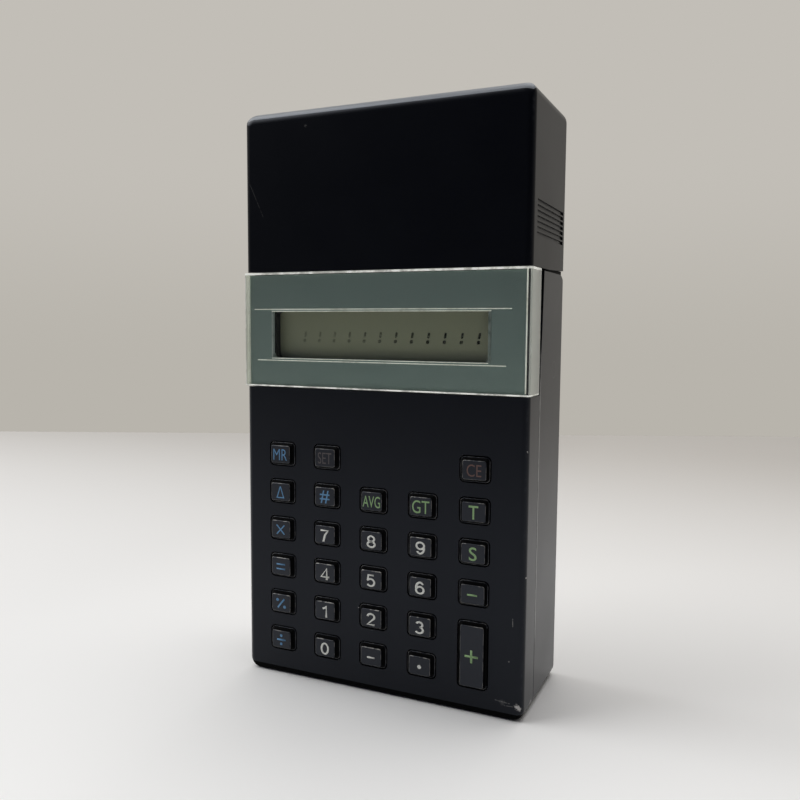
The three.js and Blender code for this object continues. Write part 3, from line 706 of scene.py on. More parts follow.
# %% Recess and switch slot
recess_half, recess_tall = 26 * MM, 22 * MM
recess_foot = middle_of("case_screw_upper_left").z - 27 * MM - recess_tall / 2
recesses = bmesh.new()
recess_depth = 0.4 * MM
recess_low = (-recess_half, rear_high.y - recess_depth, recess_foot)
tile(recesses, recess_low, (recess_half, past_back, recess_foot + recess_tall), 0.9 * MM)
slot_half, slot_tall = 1.5 * MM + gap, 11 * MM + 2 * gap
slot_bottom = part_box("power_switch_knob")[0].z + 5 * MM - gap
knob_y = middle_of("power_switch_knob").y
slot_high = (rear_low.x + wall + gap, knob_y + slot_half, slot_bottom + slot_tall)
stretch(recesses, (rear_low.x - far, knob_y - slot_half, slot_bottom), slot_high)
combine(rear, recesses)
print("foot of the recess in mm:", round(recess_foot / MM, 1))

# %% Screw towers with their deep holes
screws = [name for name in nodes if name.startswith("case_screw")]
tower_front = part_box("main_board")[1].y + gap
tower_radius, bore_radius, thread_radius = 3.3 * MM, 2.4 * MM, 1.2 * MM
head_room = 1.6 * MM + gap
towers, bores, thin_bores = bmesh.new(), bmesh.new(), bmesh.new()
for name in screws:
    x, y, z = middle_of(name)
    screw_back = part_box(name)[1].y
    rod(towers, x, z, tower_radius, tower_front, rear_high.y - wall + gap)
    rod(bores, x, z, bore_radius, screw_back - head_room, past_back)
    rod(thin_bores, x, z, thread_radius, rear_low.y, screw_back)
combine(rear, towers, "UNION")
combine(rear, bores)
combine(rear, thin_bores)
clean(cut_foot(rear))

# %% Chamfer along the seam
seam_shape = bmesh.new()
seam_shape.from_mesh(rear.data)
seam_edges = [
    edge for edge in on_plane(seam_shape.edges, 1, rear_low.y)
    if all(abs(corner.co.x) > rear_high.x - 1e-5 for corner in edge.verts)
]
print("seam edges to break:", len(seam_edges))
soften(seam_shape, seam_edges, 0.28 * MM, 2)
seam_shape.to_mesh(rear.data)
seam_shape.free()
smooth(rear, 0.12 * MM)
wear_shell(rear, "rear_shell")

# %% [markdown]
# The cap doesn't close quite down to the shells, and the gap widens towards the back. It still
# looks black there, because a low collar stands inside it in the near-black finish of painted shade.
# The collar is the outline of the rear shell drawn in a little, with a sloping top that follows the
# cap's lower edge.

# %% Collar in the gap under the cap
inset, collar_reach = 0.45 * MM, 8 * MM
collar_low = (rear_low.x + inset, shell_low.y, rear_high.z - collar_reach)
collar_high = (rear_high.x - inset, rear_high.y - inset, rear_high.z + collar_reach)
collar = make_piece("neck_collar", brick(collar_low, collar_high, corner_radius - inset, edge_radius))
slope_low = (-wide, rise_y, rear_high.z - 2.5 * MM)
slope_high = (wide, cap_high.y + far, cap_low.z - 0.1 * MM)
combine(collar, block(slope_low, slope_high, rise), "INTERSECT")
tray_low, tray_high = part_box("battery_tray")
neck_high = (tray_high.x + gap, tray_high.y + gap, cap_high.z)
combine(collar, block((tray_low.x - gap, -wide, 0), neck_high))
smooth(clean(collar), 0.1 * MM)
# The collar takes the near-black finish of painted shade.
wear(collar, key_skirt, "case", "black_shell")

# %% [markdown]
# Each key is one moulding: a rim that fills its opening level with the panel, and a button that
# stands 1.4 mm above the rim with slightly leaning sides. Behind the panel a flange keeps it in.
# The key grows from a tile: its front face is inset and pushed out for the button, and its back
# face is widened for the flange and drawn in for the plunger. Only then are the edges rounded, so
# that the rim catches a thin light line.

# %% Key finish
def key_finish():
    """Smooth satin black with lighter edges, partly wear and partly painted highlight, and a painted
    highlight along the top edges of the buttons, strongest round the middle digits.
    """
    finish = Finish("satin_key")
    cloud = finish.noise(0.006, 3.0)
    grain = finish.noise(0.00016, 2.0)
    patch = finish.noise(0.0016, 4.0, 0.6)
    worn = finish.fade(finish.edges(), 0.08, 0.28) * finish.fade(patch, 0.42, 0.58)
    base = finish.mix(cloud, (15, 16, 20), (20, 21, 26))
    # The lighter edge line is partly wear and partly a painted highlight.
    colour = finish.mix(worn * 0.75, base, (140, 137, 132))
    # Painted highlight: a broken light line on the upward-facing top edges of the buttons, strongest
    # round the middle digits.
    upward = finish.fade(finish.part(finish.facing(), "Z"), 0.30, 0.72)
    crown = finish.drop(finish.along("Y"), front_y - 1.0 * MM, front_y - 0.8 * MM)
    highlight_spread = finish.drop(finish.distance(spot(-6, 0, 33)), 16 * MM, 32 * MM)
    wear_and_highlight = upward * crown * finish.fade(patch, 0.48, 0.62) * (0.16 + 0.54 * highlight_spread)
    return finish.coat(
        finish.mix(wear_and_highlight, colour, (214, 211, 203)),
        0.30 + 0.10 * patch,
        grain, 0.006, 0.4,
        Specular_IOR_Level=0.42,
        Specular_Tint=(0.80, 0.86, 1.0, 1),
    )


satin_key = key_finish()
key_gap = 0.34 * MM
button_rise, button_inset = 1.4 * MM, 0.50 * MM
lean_across, lean_up = 0.44 * MM, 0.24 * MM
rim_rounding, crown_rounding = 0.16 * MM, 0.24 * MM
legend_step = 0.03 * MM
button_face = front_y - button_rise + legend_step
last_column, wider_button = 22 * MM, 0.38 * MM
flange_front = front_y + panel_thickness + gap
flange_thickness, plunger = 0.8 * MM, 3.0 * MM
print("front face of a key, in mm:", round(button_face / MM, 2))

# %% One key
def face_at(shape, level):
    """The largest face across Y at this level."""
    return max(on_plane(shape.faces, 1, level), key=lambda face: face.calc_area())


def grow(shape, face):
    """Extrudes a face where it is, and returns the new one."""
    pushed = bmesh.ops.extrude_face_region(shape, geom=[face])["geom"]
    bmesh.ops.delete(shape, geom=[face], context="FACES_ONLY")
    return next(item for item in pushed if isinstance(item, bmesh.types.BMFace))


def make_key(name):
    """A key with its rim, button, flange and plunger, where its solid is."""
    low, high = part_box(name)
    size = high - low
    left, right_edge, bottom, top = opening_of(name)
    shape = bmesh.new()
    rim_low = (left + key_gap, front_y, bottom + key_gap)
    tile(shape, rim_low, (right_edge - key_gap, flange_front, top - key_gap), 1.1 * MM, 6)
    middle = Vector(((left + right_edge) / 2, 0, (bottom + top) / 2))

    front_face = face_at(shape, front_y)
    bmesh.ops.inset_region(shape, faces=[front_face], thickness=button_inset, use_even_offset=True)
    crown = list(grow(shape, front_face).verts)
    bmesh.ops.translate(shape, vec=(0, button_face - front_y, 0), verts=crown)
    half_x, half_z = (max(v.co[axis] for v in crown) - middle[axis] for axis in (0, 2))
    leaning = Vector((1 - lean_across / half_x, 1, 1 - lean_up / half_z))
    bmesh.ops.scale(shape, vec=leaning, space=Matrix.Translation(-middle), verts=crown)
    if low.x > last_column:
        right_side = [corner for corner in crown if corner.co.x > middle.x]
        bmesh.ops.translate(shape, vec=(wider_button, 0, 0), verts=right_side)

    rim_wide, rim_tall = right_edge - left - 2 * key_gap, top - bottom - 2 * key_gap
    steps = [
        (size.x / rim_wide, size.z / rim_tall, opening_shift, 0),
        (1, 1, 0, flange_thickness),
        (plunger / size.x, plunger / size.z, 0, 0),
        (1, 1, 0, high.y - flange_front - flange_thickness),
    ]
    back_face = face_at(shape, flange_front)
    for across, tall, aside, deep in steps:
        back_face = grow(shape, back_face)
        grown = list(back_face.verts)
        bmesh.ops.scale(shape, vec=(across, 1, tall), space=Matrix.Translation(-middle), verts=grown)
        bmesh.ops.translate(shape, vec=(aside, deep, 0), verts=grown)
        middle.x += aside

    bmesh.ops.recalc_face_normals(shape, faces=shape.faces)
    rim_edge = [
        edge for edge in on_plane(shape.edges, 1, front_y)
        if any(f.normal.y > -0.5 and f.calc_center_median().y > front_y for f in edge.link_faces)
    ]
    crown_edge = on_plane(shape.edges, 1, button_face)
    soften(shape, rim_edge, rim_rounding, 3)
    soften(shape, crown_edge, crown_rounding, 4)
    piece = smooth(make_piece(name + "_cap", shape))
    wear(piece, satin_key, name, "key_plastic", name)
    # Everything but the button's face and the rim's rounded edge takes the near-black finish of
    # painted shade.
    piece.data.materials.append(key_skirt)
    for face in piece.data.polygons:
        y = face.center.y
        on_rim = front_y + 0.01 * MM < y < front_y + 0.2 * MM and face.area < 0.6 * MM * MM
        face.material_index = 0 if on_rim or y < button_face + 0.26 * MM else 1


for name in key_names:
    make_key(name)
print("keys made:", len(key_names))

# %% [markdown]
# Behind the keys lies a sheet of grey silicone rubber with a hollow dome under each key, which
# pushes the key back. As one solid, the mat would be cut through by a pressed key. So the domes
# are separate pieces, each with a mesh of its own.

# %% Rubber finish
def plain_finish(name, dark, light, metal, gloss, grain_size, depth):
    """A finish from two tones, with one grain in colour, gloss and bump, sized in mm."""
    finish = Finish(name)
    tone = finish.noise(grain_size * MM * 12, 3.0)
    grain = finish.noise(grain_size * MM, 3.0, 0.6)
    worn = finish.fade(finish.edges(), 0.08, 0.30) * finish.fade(grain, 0.35, 0.6)
    base = finish.mix(tone, dark, light)
    bright = tuple(min(255, part * 1.5 + 20) for part in light)
    return finish.coat(
        finish.mix(worn * 0.4, base, bright),
        gloss + 0.12 * grain,
        grain, depth, 0.5,
        Metallic=metal,
    )


mat_rubber = plain_finish("mat_rubber", (96, 98, 99), (118, 119, 119), 0.0, 0.8, 0.5, 0.02)
mat_low, mat_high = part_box("keypad_mat")
dome_height, well_radius = 1.1 * MM, 1.9 * MM
dome_radius, tip_radius = 2.6 * MM, 1.6 * MM
sheet_front = mat_low.y + dome_height
print("thickness of the sheet in mm:", round((mat_high.y - sheet_front) / MM, 2))

# %% Mat sheet and domes
sheet_low = (mat_low.x, sheet_front, mat_low.z)
mat = make_piece("mat_sheet", brick(sheet_low, mat_high, 1.5 * MM, 0.12 * MM, 4))
wells = bmesh.new()
for name in key_names:
    x, y, z = middle_of(name)
    rod(wells, x, z, well_radius, mat_low.y, mat_high.y + MM)
combine(mat, wells)
smooth(clean(mat))
wear(mat, mat_rubber, "case", "grey_rubber", "keypad_mat")


def make_dome(name):
    """A cone with a flat round top, under its key."""
    x, y, z = middle_of(name)
    dome_back = sheet_front - 0.02 * MM
    shape = bmesh.new()
    rod(shape, x, z, dome_radius, mat_low.y, dome_back, tip=tip_radius)
    soften(shape, on_plane(shape.edges, 1, mat_low.y), 0.25 * MM, 3)
    piece = smooth(make_piece("mat_dome_" + name[4:], shape))
    wear(piece, mat_rubber, "case", "grey_rubber")
    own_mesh(piece)


for name in key_names:
    make_dome(name)
print("domes made:", len(key_names))

# %% [markdown]
# The legends are printed on the keys: white digits, blue signs at the left, green totals at the
# right. Only digits, arithmetic signs and common function letters are used. A digit or a sign is
# drawn as a pen line with round ends, and letters come from Blender's own font. Each becomes a
# thin mesh that is laid on its key, so that it moves with the key and exports as geometry.

# %% Legend finish
def print_finish(name, colour):
    """Printing ink: matt, with tiny thin spots."""
    finish = Finish(name)
    thin = finish.fade(finish.noise(0.00035, 3.0, 0.7), 0.55, 0.75)
    worn = tuple(0.55 * part for part in colour[:3]) + (1.0,)
    return finish.coat(finish.mix(thin, colour, worn), 0.55 + 0.15 * thin, thin, 0.004, 0.3)


ink_tones = {
    "white": (216, 217, 211),
    "blue": (87, 134, 174),
    "green": (131, 163, 113),
    "brown": (76, 69, 70),
    "red": (92, 66, 60),
}
inks = {ink: print_finish("ink_" + ink, linear(*tone)) for ink, tone in ink_tones.items()}
print("inks:", sorted(inks))

# %% Legends: text, ink, height in mm, narrowing and fattening
legends = {
    "key_memory_recall": ("MR", "blue", 3.0, 0.74, -0.008),
    "key_delta": ("Δ", "blue", 3.2, 0.92, -0.010),
    "key_times": ("×", "blue", 2.8, 0.96, -0.018),
    "key_equals": ("=", "blue", 1.7, 1.0, 0.0),
    "key_percent": ("%", "blue", 2.85, 1.0, 0.0),
    "key_divide": ("÷", "blue", 3.2, 1.0, 0.0),
    "key_set": ("SET", "brown", 3.0, 0.62, -0.006),
    "key_number_sign": ("#", "blue", 3.4, 1.02, 0.004),
    "key_average": ("AVG", "green", 3.0, 0.60, 0.0),
    "key_grand_total": ("GT", "green", 3.3, 0.78, 0.0),
    "key_clear": ("CE", "red", 3.0, 0.78, -0.004),
    "key_total": ("T", "green", 3.4, 0.86, 0.006),
    "key_subtotal": ("S", "green", 3.4, 1.05, 0.006),
    "key_subtract": ("−", "green", 0.45, 1.18, 0.0),
    "key_add": ("+", "green", 3.3, 1.06, 0.0),
    "key_minus": ("−", "white", 0.45, 1.0, 0.0),
    "key_point": (".", "white", 1.1, 1.0, 0.0),
}
for digit in "0123456789":
    legends["key_digit_" + digit] = (digit, "white", 3.35, 1.24, 0.0)


def bow(x, z, wide, tall, start=0, end=360, steps=14):
    """Points along part of an ellipse, from one angle to another in degrees."""
    angles = [math.radians(start + (end - start) * i / steps) for i in range(steps + 1)]
    return [(x + wide * math.cos(angle), z + tall * math.sin(angle)) for angle in angles]


def dot_at(x, z, size=0.05):
    """A small ring of points."""
    return bow(x, z, size, size, steps=8)


six = [bow(0, 0.0, 0.245, 0.42, 38, 185), bow(0, -0.165, 0.245, 0.255, steps=20)]
pen_strokes = {
    "0": [bow(0, 0, 0.235, 0.42, steps=24)],
    "1": [[(0.06, -0.42), (0.06, 0.42), (-0.03, 0.28), (-0.18, 0.23)]],
    "2": [bow(0, 0.18, 0.235, 0.24, 172, -30) + [(-0.24, -0.42), (0.25, -0.42)]],
    "3": [bow(-0.01, 0.215, 0.20, 0.205, 155, -85), bow(-0.01, -0.195, 0.24, 0.225, 85, -155)],
    "4": [[(0.27, -0.20), (-0.27, -0.20), (0.10, 0.42), (0.10, -0.42)]],
    "5": [[(0.21, 0.42), (-0.16, 0.42), (-0.20, 0.03)] + bow(0, -0.145, 0.25, 0.275, 142, -150)],
    "6": six,
    "7": [[(-0.25, 0.42), (0.25, 0.42), (0.06, 0.10), (-0.06, -0.42)]],
    "8": [bow(0, 0.21, 0.205, 0.21, steps=20), bow(0, -0.205, 0.245, 0.215, steps=20)],
    "9": [[(-x, -z) for x, z in line] for line in six],
    "%": [[(-0.27, -0.33), (0.27, 0.33)], dot_at(-0.29, 0.24, 0.06), dot_at(0.29, -0.24, 0.06)],
    "=": [[(-0.40, 0.19), (0.40, 0.19)], [(-0.40, -0.19), (0.40, -0.19)]],
    "÷": [[(-0.36, 0), (0.36, 0)], dot_at(0, 0.30), dot_at(0, -0.30)],
    "+": [[(-0.42, 0), (0.42, 0)], [(0, -0.42), (0, 0.42)]],
    "−": [[(-0.34, 0), (0.34, 0)]],
    ".": [dot_at(0, 0, 0.09)],
}
pen_width = {"%": 0.12, "=": 0.12, "÷": 0.12, ".": 0.22}
print("signs drawn with the pen:", "".join(sorted(pen_strokes)))

# %% Laying a legend on its key
def sign_curve(words, fatter):
    """A sign as a pen line with round ends, or letters in Blender's own font."""
    if words not in pen_strokes:
        text = bpy.data.curves.new("legend", "FONT")
        text.body = words
        text.align_x = "CENTER"
        text.extrude = 0.004
        text.offset = fatter
        text.resolution_u = 5
        return text
    pen = bpy.data.curves.new("legend", "CURVE")
    pen.dimensions = "3D"
    pen.bevel_depth = pen_width.get(words, 0.14) / 2
    pen.bevel_resolution = 1
    pen.use_fill_caps = True
    for line in pen_strokes[words]:
        closed = math.dist(line[0], line[-1]) < 1e-6
        points = line[:-1] if closed else line
        spline = pen.splines.new("POLY")
        spline.points.add(len(points) - 1)
        spline.use_cyclic_u = closed
        for point, (x, z) in zip(spline.points, points):
            point.co = (x, z, 0, 1)
    return pen


def print_legend(name):
    """Lays a printed legend on a key's face."""
    words, ink, tall, narrow, fatter = legends[name]
    carrier = add("legend", sign_curve(words, fatter))
    mesh = baked(carrier)
    bpy.data.objects.remove(carrier)
    shape = bmesh.new()
    shape.from_mesh(mesh)
    bpy.data.meshes.remove(mesh)
    bmesh.ops.remove_doubles(shape, verts=shape.verts, dist=1e-5)
    lows, highs = (
        Vector([end(corner.co[axis] for corner in shape.verts) for axis in range(3)])
        for end in (min, max)
    )
    bmesh.ops.translate(shape, vec=-(lows + highs) / 2, verts=shape.verts)
    size = highs - lows
    scale = tall * MM / size.y
    flat = 0.8 * legend_step / size.z
    bmesh.ops.scale(shape, vec=(scale * narrow, scale, flat), verts=shape.verts)
    bmesh.ops.rotate(shape, matrix=Matrix.Rotation(math.pi / 2, 3, "X"), verts=shape.verts)
    place = middle_of(name)
    place.x -= 0.26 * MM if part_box(name)[0].x < last_column else 0.12 * MM
    place.y = button_face - 0.35 * legend_step
    place.z -= 0.22 * MM if ink == "white" or words == "+" else 0.08 * MM
    bmesh.ops.translate(shape, vec=place, verts=shape.verts)
    piece = make_piece("legend_" + name[4:], shape)
    for face in piece.data.polygons:
        face.use_smooth = words in pen_strokes
    wear(piece, inks[ink], name, "key_plastic")


for name in key_names:
    print_legend(name)
print("legends printed:", len(key_names))

# %% [markdown]
# The display band is a channel of green grey satin metal, folded back along both sides. It is
# drawn as the front and two sides of a box with round front corners. Four cuts mark the window,
# its face is taken out, and Solidify's bmesh form gives the sheet its thickness inwards.

# %% Channel tool
def slice_at(shape, axis, levels):
    """Cuts new edges where planes across an axis meet the faces."""
    for level in levels:
        place, way = Vector((0, 0, 0)), Vector((0, 0, 0))
        place[axis], way[axis] = level, 1
        everything = [*shape.verts, *shape.edges, *shape.faces]
        bmesh.ops.bisect_plane(shape, geom=everything, dist=1e-7, plane_co=place, plane_no=way)


def channel(low, high, thickness, radius, segments, window=None):
    """A sheet folded back along both sides, open at the back, top and bottom."""
    shape = bmesh.new()
    front_corners = [v for v in stretch(shape, low, high) if v.co.y < low[1] + 1e-6]
    soften(shape, edges_along(front_corners, 2), radius, segments)
    unwanted = on_plane(shape.faces, 1, high[1])
    unwanted += on_plane(shape.faces, 2, low[2]) + on_plane(shape.faces, 2, high[2])
    bmesh.ops.delete(shape, geom=unwanted, context="FACES")
    if window:
        left, right_edge, bottom, top = window
        slice_at(shape, 0, (left, right_edge))
        slice_at(shape, 2, (bottom, top))
        inside = []
        for face in on_plane(shape.faces, 1, low[1]):
            middle = face.calc_center_median()
            if left < middle.x < right_edge and bottom < middle.z < top:
                inside.append(face)
        bmesh.ops.delete(shape, geom=inside, context="FACES")
    bmesh.ops.recalc_face_normals(shape, faces=shape.faces)
    front_face = min(shape.faces, key=lambda face: face.calc_center_median().y)
    if front_face.normal.y > 0:
        bmesh.ops.reverse_faces(shape, faces=shape.faces)
    bmesh.ops.solidify(shape, geom=shape.faces, thickness=thickness)
    return shape


window = (pane_low.x, pane_high.x, pane_low.z, pane_high.z)
print("window in mm:", [round(edge / MM, 1) for edge in window])

# %% Display plate
def plate_finish():
    """Satin anodised metal: a fine grain, slow tone drift and a few specks of dust."""
    finish = Finish("green_grey_metal")
    drift = finish.noise(0.03, 2.0)
    mottle = finish.noise(0.0016, 3.0, 0.6)
    grain = finish.noise(0.00012, 1.0, 0.5, (1.0, 1.0, 0.35))
    specks = finish.fade(finish.noise(0.0007, 1.0), 0.76, 0.82)
    wear_and_highlight = finish.fade(finish.edges(), 0.05, 0.25)
    base = finish.mix(drift, (141, 158, 152), (151, 166, 161))
    base = finish.mix(mottle * 0.35, base, (157, 170, 165))
    colour = finish.mix(specks * 0.4, base, (190, 194, 188))
    return finish.coat(
        finish.mix(wear_and_highlight, colour, (226, 229, 228)),
        0.42 + 0.08 * grain,
        grain, 0.004, 0.35,
        Metallic=0.75,
    )


flank_cut = 0.9 * MM
band_low.x -= 0.38 * MM
band_high.y -= flank_cut
plate = make_piece("band_plate", channel(band_low, band_high, 0.5 * MM, 0.28 * MM, 3, window))
smooth(plate, 0.06 * MM)
wear(plate, plate_finish(), "case", "green_grey_metal", "display_plate")

# %% [markdown]
# The window cover is clear acrylic, 1 mm thick, folded round the band like the plate. Most of it
# is only seen by its gloss. Its cut edges are where it shows: light runs inside the sheet and
# comes out there as pale lines. So the wide faces mix a transparent shader with a glossy one by
# Fresnel, and milky finishes are given to the narrow cut faces, most with a painted glow from
# emission. A dark tint where the sheet bends at the right is painted shade, and the pale milky
# flanks are a painted reflection.

# %% Clear finishes
def clear_finish(name, tint, milk, body=(205, 208, 203)):
    """Acrylic as a thin sheet: see-through with a tint, and glossy where it is seen at a slant."""
    finish = Finish(name)
    dust = finish.fade(finish.noise(0.0009, 2.0, 0.7), 0.72, 0.80)
    gloss = finish.shade(Base_Color=linear(*body), Roughness=0.06 + 0.25 * dust)
    slant = finish.node("Fresnel", {"IOR": 1.25})
    share = (slant * 0.75 + 0.04 * dust + milk).below(0.75)
    return finish.see_through(share, tint, gloss)


def edge_finish(name, dull, bright, least, painted_glow, chip_size):
    """The cut edge of the acrylic: a milky colour with chips, and emission as a painted glow where
    light comes out of the sheet.
    """
    finish = Finish(name)
    chips = finish.fade(finish.noise(chip_size * MM, 3.0, 0.6), 0.35, 0.65)
    colour = finish.mix(chips, dull, bright)
    # The emission is a painted glow.
    pale = finish.shade(
        Base_Color=colour,
        Roughness=0.25 + 0.1 * chips,
        Emission_Color=colour,
        Emission_Strength=painted_glow,
    )
    return finish.see_through((least + 0.3 * chips).below(1.0), (0.9, 0.92, 0.9, 1), pale)


cover_finishes = [
    clear_finish("clear_acrylic", (0.96, 0.975, 0.965, 1), 0.0),
    edge_finish("acrylic_edge", (206, 207, 199), (244, 245, 238), 0.72, 0.26, 3),
    # A dark tint where the front bends round the right corner: painted shade.
    clear_finish("bent_acrylic", (0.12, 0.12, 0.14, 1), 0.05),
    # The flanks are pale and milky as a painted reflection.
    clear_finish("flank_acrylic", (0.95, 0.96, 0.95, 1), 0.44, (238, 241, 233)),
    edge_finish("rear_edge", (84, 84, 81), (104, 103, 99), 0.85, 0.0, 4),
    edge_finish("left_bend", (166, 166, 160), (196, 197, 190), 0.80, 0.10, 6),
]
print("finishes of the cover:", [finish.name for finish in cover_finishes])

# %% Window cover
cover_low, cover_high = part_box("window_cover")
cover_high.z = cap_low.z - 0.22 * MM
cover_high.y -= flank_cut
cover_shape = channel(cover_low, cover_high, 0.85 * MM, 0.6 * MM, 5)
cut_edges = [
    edge for edge in cover_shape.edges
    if len(edge.link_faces) == 2 and edge.calc_face_angle(0) > 0.8
]
soften(cover_shape, cut_edges, 0.10 * MM, 2)
# The outer strips along the top and bottom of the front take the glowing edge finish: a painted
# highlight.
bright_top, bright_foot = cover_high.z - 0.55 * MM, cover_low.z + 0.38 * MM
bend = cover_high.x - 0.98 * MM
slice_at(cover_shape, 2, (bright_top, bright_foot))
slice_at(cover_shape, 0, (bend,))
cover = smooth(make_piece("clear_cover", cover_shape))
wear(cover, cover_finishes[0], "case", "clear_plastic", "window_cover")
for finish in cover_finishes[1:]:
    cover.data.materials.append(finish)


def cover_finish_of(face):
    """The place of a face's finish in the list above."""
    (x, y, z), facing = face.center, face.normal
    outside = y < cover_low.y + 0.35 * MM or abs(x) > cover_high.x - 0.05 * MM
    if abs(facing.z) > 0.5 or (outside and not bright_foot < z < bright_top):
        return 1
    if y > cover_high.y - 0.2 * MM:
        return 4
    if 0.12 * MM < x - cover_low.x < 0.8 * MM and y < cover_low.y + 0.4 * MM:
        return 5
    if abs(x) > cover_high.x - 0.42 * MM or abs(facing.x) > 0.7:
        return 3
    return 2 if y < cover_low.y + 0.12 * MM and x > bend else 0


for face in cover.data.polygons:
    face.material_index = cover_finish_of(face)
shares = [sum(f.material_index == i for f in cover.data.polygons) for i in range(len(cover_finishes))]
print("faces of the cover by finish:", shares)

# %% [markdown]
# A shallow step is moulded into the back of the cover round the window. It only shows as two long
# pale lines above and below the window, and a fainter frame close round it. They are modelled as
# fine ribs behind the sheet in pale, partly glowing finishes, a painted highlight, because the
# faces of a real groove would hold no highlight.

# %% Pale lines in the cover
line_back = band_low.y - 0.02 * MM


def ribs(name, finish, depth, *boxes):
    """Fine ribs behind the cover, each given as left, right, bottom and top, all in mm."""
    shape = bmesh.new()
    for left, right_edge, bottom, top in boxes:
        low = (left * MM, line_back - depth * MM, bottom * MM)
        corners = stretch(shape, low, (right_edge * MM, line_back, top * MM))
        soften(shape, edges_along(corners, 0 if right_edge - left > top - bottom else 2), 0.04 * MM, 2)
    wear(smooth(make_piece(name, shape)), finish, "case", "clear_plastic")


line_finish = edge_finish("line_edge", (216, 214, 203), (250, 248, 238), 0.88, 0.34, 6)
faint_finish = edge_finish("faint_edge", (176, 182, 176), (196, 200, 192), 0.80, 0.02, 4)
frame_finish = edge_finish("frame_edge", (136, 146, 140), (152, 160, 154), 0.8, 0.0, 3)
ribs("cover_lines", line_finish, 0.16, (-37.7, 35.1, 101.2, 101.42), (-36.8, 33.9, 87.44, 87.66))
ribs("frame_lines", line_finish, 0.14, (-32.2, 30.0, 100.68, 100.88), (-32.2, 29.4, 88.02, 88.2))
ribs("frame_sides", frame_finish, 0.10, (-32.27, -31.4, 88.2, 100.68), (29.3, 30.05, 88.2, 100.68))
ribs("frame_edge", faint_finish, 0.13, (-32.27, -31.95, 88.3, 100.6))
# The left line and the right corner line are pale glowing ribs along the cover's folded sides: painted
# highlights.
ribs("left_line", line_finish, 0.14, (-39.88, -39.45, 81.3, 110.9))
ribs("corner_line", line_finish, 0.14, (38.66, 39.02, 81.1, 111.0))

# %% Round lower corners of the window
round_radius = 1.25 * MM
corner_foot = pane_low.z - 0.1 * MM
corner_top = corner_foot + 1.3 * MM
corner_shape, corner_tools = bmesh.new(), bmesh.new()
for side, x in ((1, -31.4 * MM), (-1, 29.3 * MM)):
    centre = x + side * round_radius
    left, right_edge = sorted((x - side * 0.05 * MM, centre))
    low = (left, band_low.y, corner_foot)
    stretch(corner_shape, low, (right_edge, band_low.y + 0.5 * MM, corner_top))
    rod(corner_tools, centre, corner_top, round_radius, band_low.y - MM, band_low.y + MM, 48)
window_corners = combine(make_piece("window_corners", corner_shape), corner_tools)
smooth(clean(window_corners), 0.04 * MM)
wear(window_corners, frame_finish, "case", "green_grey_metal")

# %% [markdown]
# The liquid crystal panel is flat glass in front of a grey green film. Seen at a slant, its twelve
# unlit figures show as faint slanted marks. They are thin strokes in front of the glass, in a
# finish that is mostly see-through and grows darker to the right, as the light falls in the photo.

# %% Panel finish and its faint figures
def panel_finish():
    """Olive glass of the display."""
    finish = Finish("olive_glass")
    tone = finish.noise(0.02, 2.0)
    mottle = finish.noise(0.0004, 2.0)
    base = finish.mix(tone, (163, 163, 137), (172, 172, 145))
    return finish.coat(
        finish.mix(mottle * 0.15, base, (122, 122, 104)),
        0.20 + 0.06 * mottle,
        mottle, 0.002, 0.2,
        Coat_Weight=0.4,
        Coat_Roughness=0.05,
    )


def figure_finish():
    """The unlit figures: a dark tint that is stronger to the right."""
    finish = Finish("faint_figures")
    across = finish.fade(finish.along("X"), -30 * MM, 28 * MM)
    break_up = finish.noise(0.0008, 2.0)
    dark = finish.shade(Base_Color=linear(44, 44, 36), Roughness=0.4 + 0.1 * break_up)
    share = (0.10 + 0.62 * across * across) * finish.fade(break_up, 0.2, 0.5)
    return finish.see_through(share, (1, 1, 1, 1), dark)


glass_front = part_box("lcd_panel")[0].y
figure_count, figure_pitch, last_figure = 12, 4.52 * MM, 25.8 * MM
figure_marks = ((94.65 * MM, 0.62 * MM, 1.5 * MM), (93.0 * MM, 0.85 * MM, 0.9 * MM))
figures_shape = bmesh.new()
for place in range(figure_count):
    x = last_figure - figure_pitch * place
    for z, across, tall in figure_marks:
        low = (x - across / 2, glass_front - 0.05 * MM, z - tall / 2)
        tile(figures_shape, low, (x + across / 2, glass_front - 0.01 * MM, z + tall / 2), 0.28 * MM, 3)
lean_over = Matrix.Shear("XY", 4, (0.16, 0.0))
figure_foot = Matrix.Translation((0, 0, -93.8 * MM))
bmesh.ops.transform(figures_shape, matrix=lean_over, space=figure_foot, verts=figures_shape.verts)
figures = smooth(make_piece("faint_figures", figures_shape))
wear(figures, figure_finish(), "case", "lcd_glass")
print("figures:", figure_count)

# %% [markdown]
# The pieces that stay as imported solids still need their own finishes, because some are seen when
# the cap is off, through the screw holes or from below. A weld and a fine bevel make their edges
# catch the light. Their meshes aren't changed, only what the modifiers add. Most take the plain
# finish of the rubber mat with other values, and those stand in a table.

# %% Finishes for the board and the cells
def board_finish():
    """Green solder mask with copper tracks under it and tinned pads."""
    finish = Finish("board_mask")
    waves = {"Vector": finish.place, "Scale": 260.0, "Distortion": 6.0, "Detail": 1.0}
    tracks = finish.node("TexWave", waves, wave_type="BANDS", bands_direction="X")
    line = finish.fade(tracks, 0.62, 0.70)
    pads = finish.node("TexVoronoi", {"Vector": finish.place, "Scale": 330.0}, "Distance")
    pad = finish.drop(pads, 0.16, 0.20)
    mask = finish.mix(line, (30, 66, 38), (52, 96, 56))
    return finish.coat(
        finish.mix(pad, mask, (176, 178, 174)),
        0.42 - 0.10 * pad,
        line + pad, 0.03, 0.6,
        Metallic=pad * 0.8,
    )


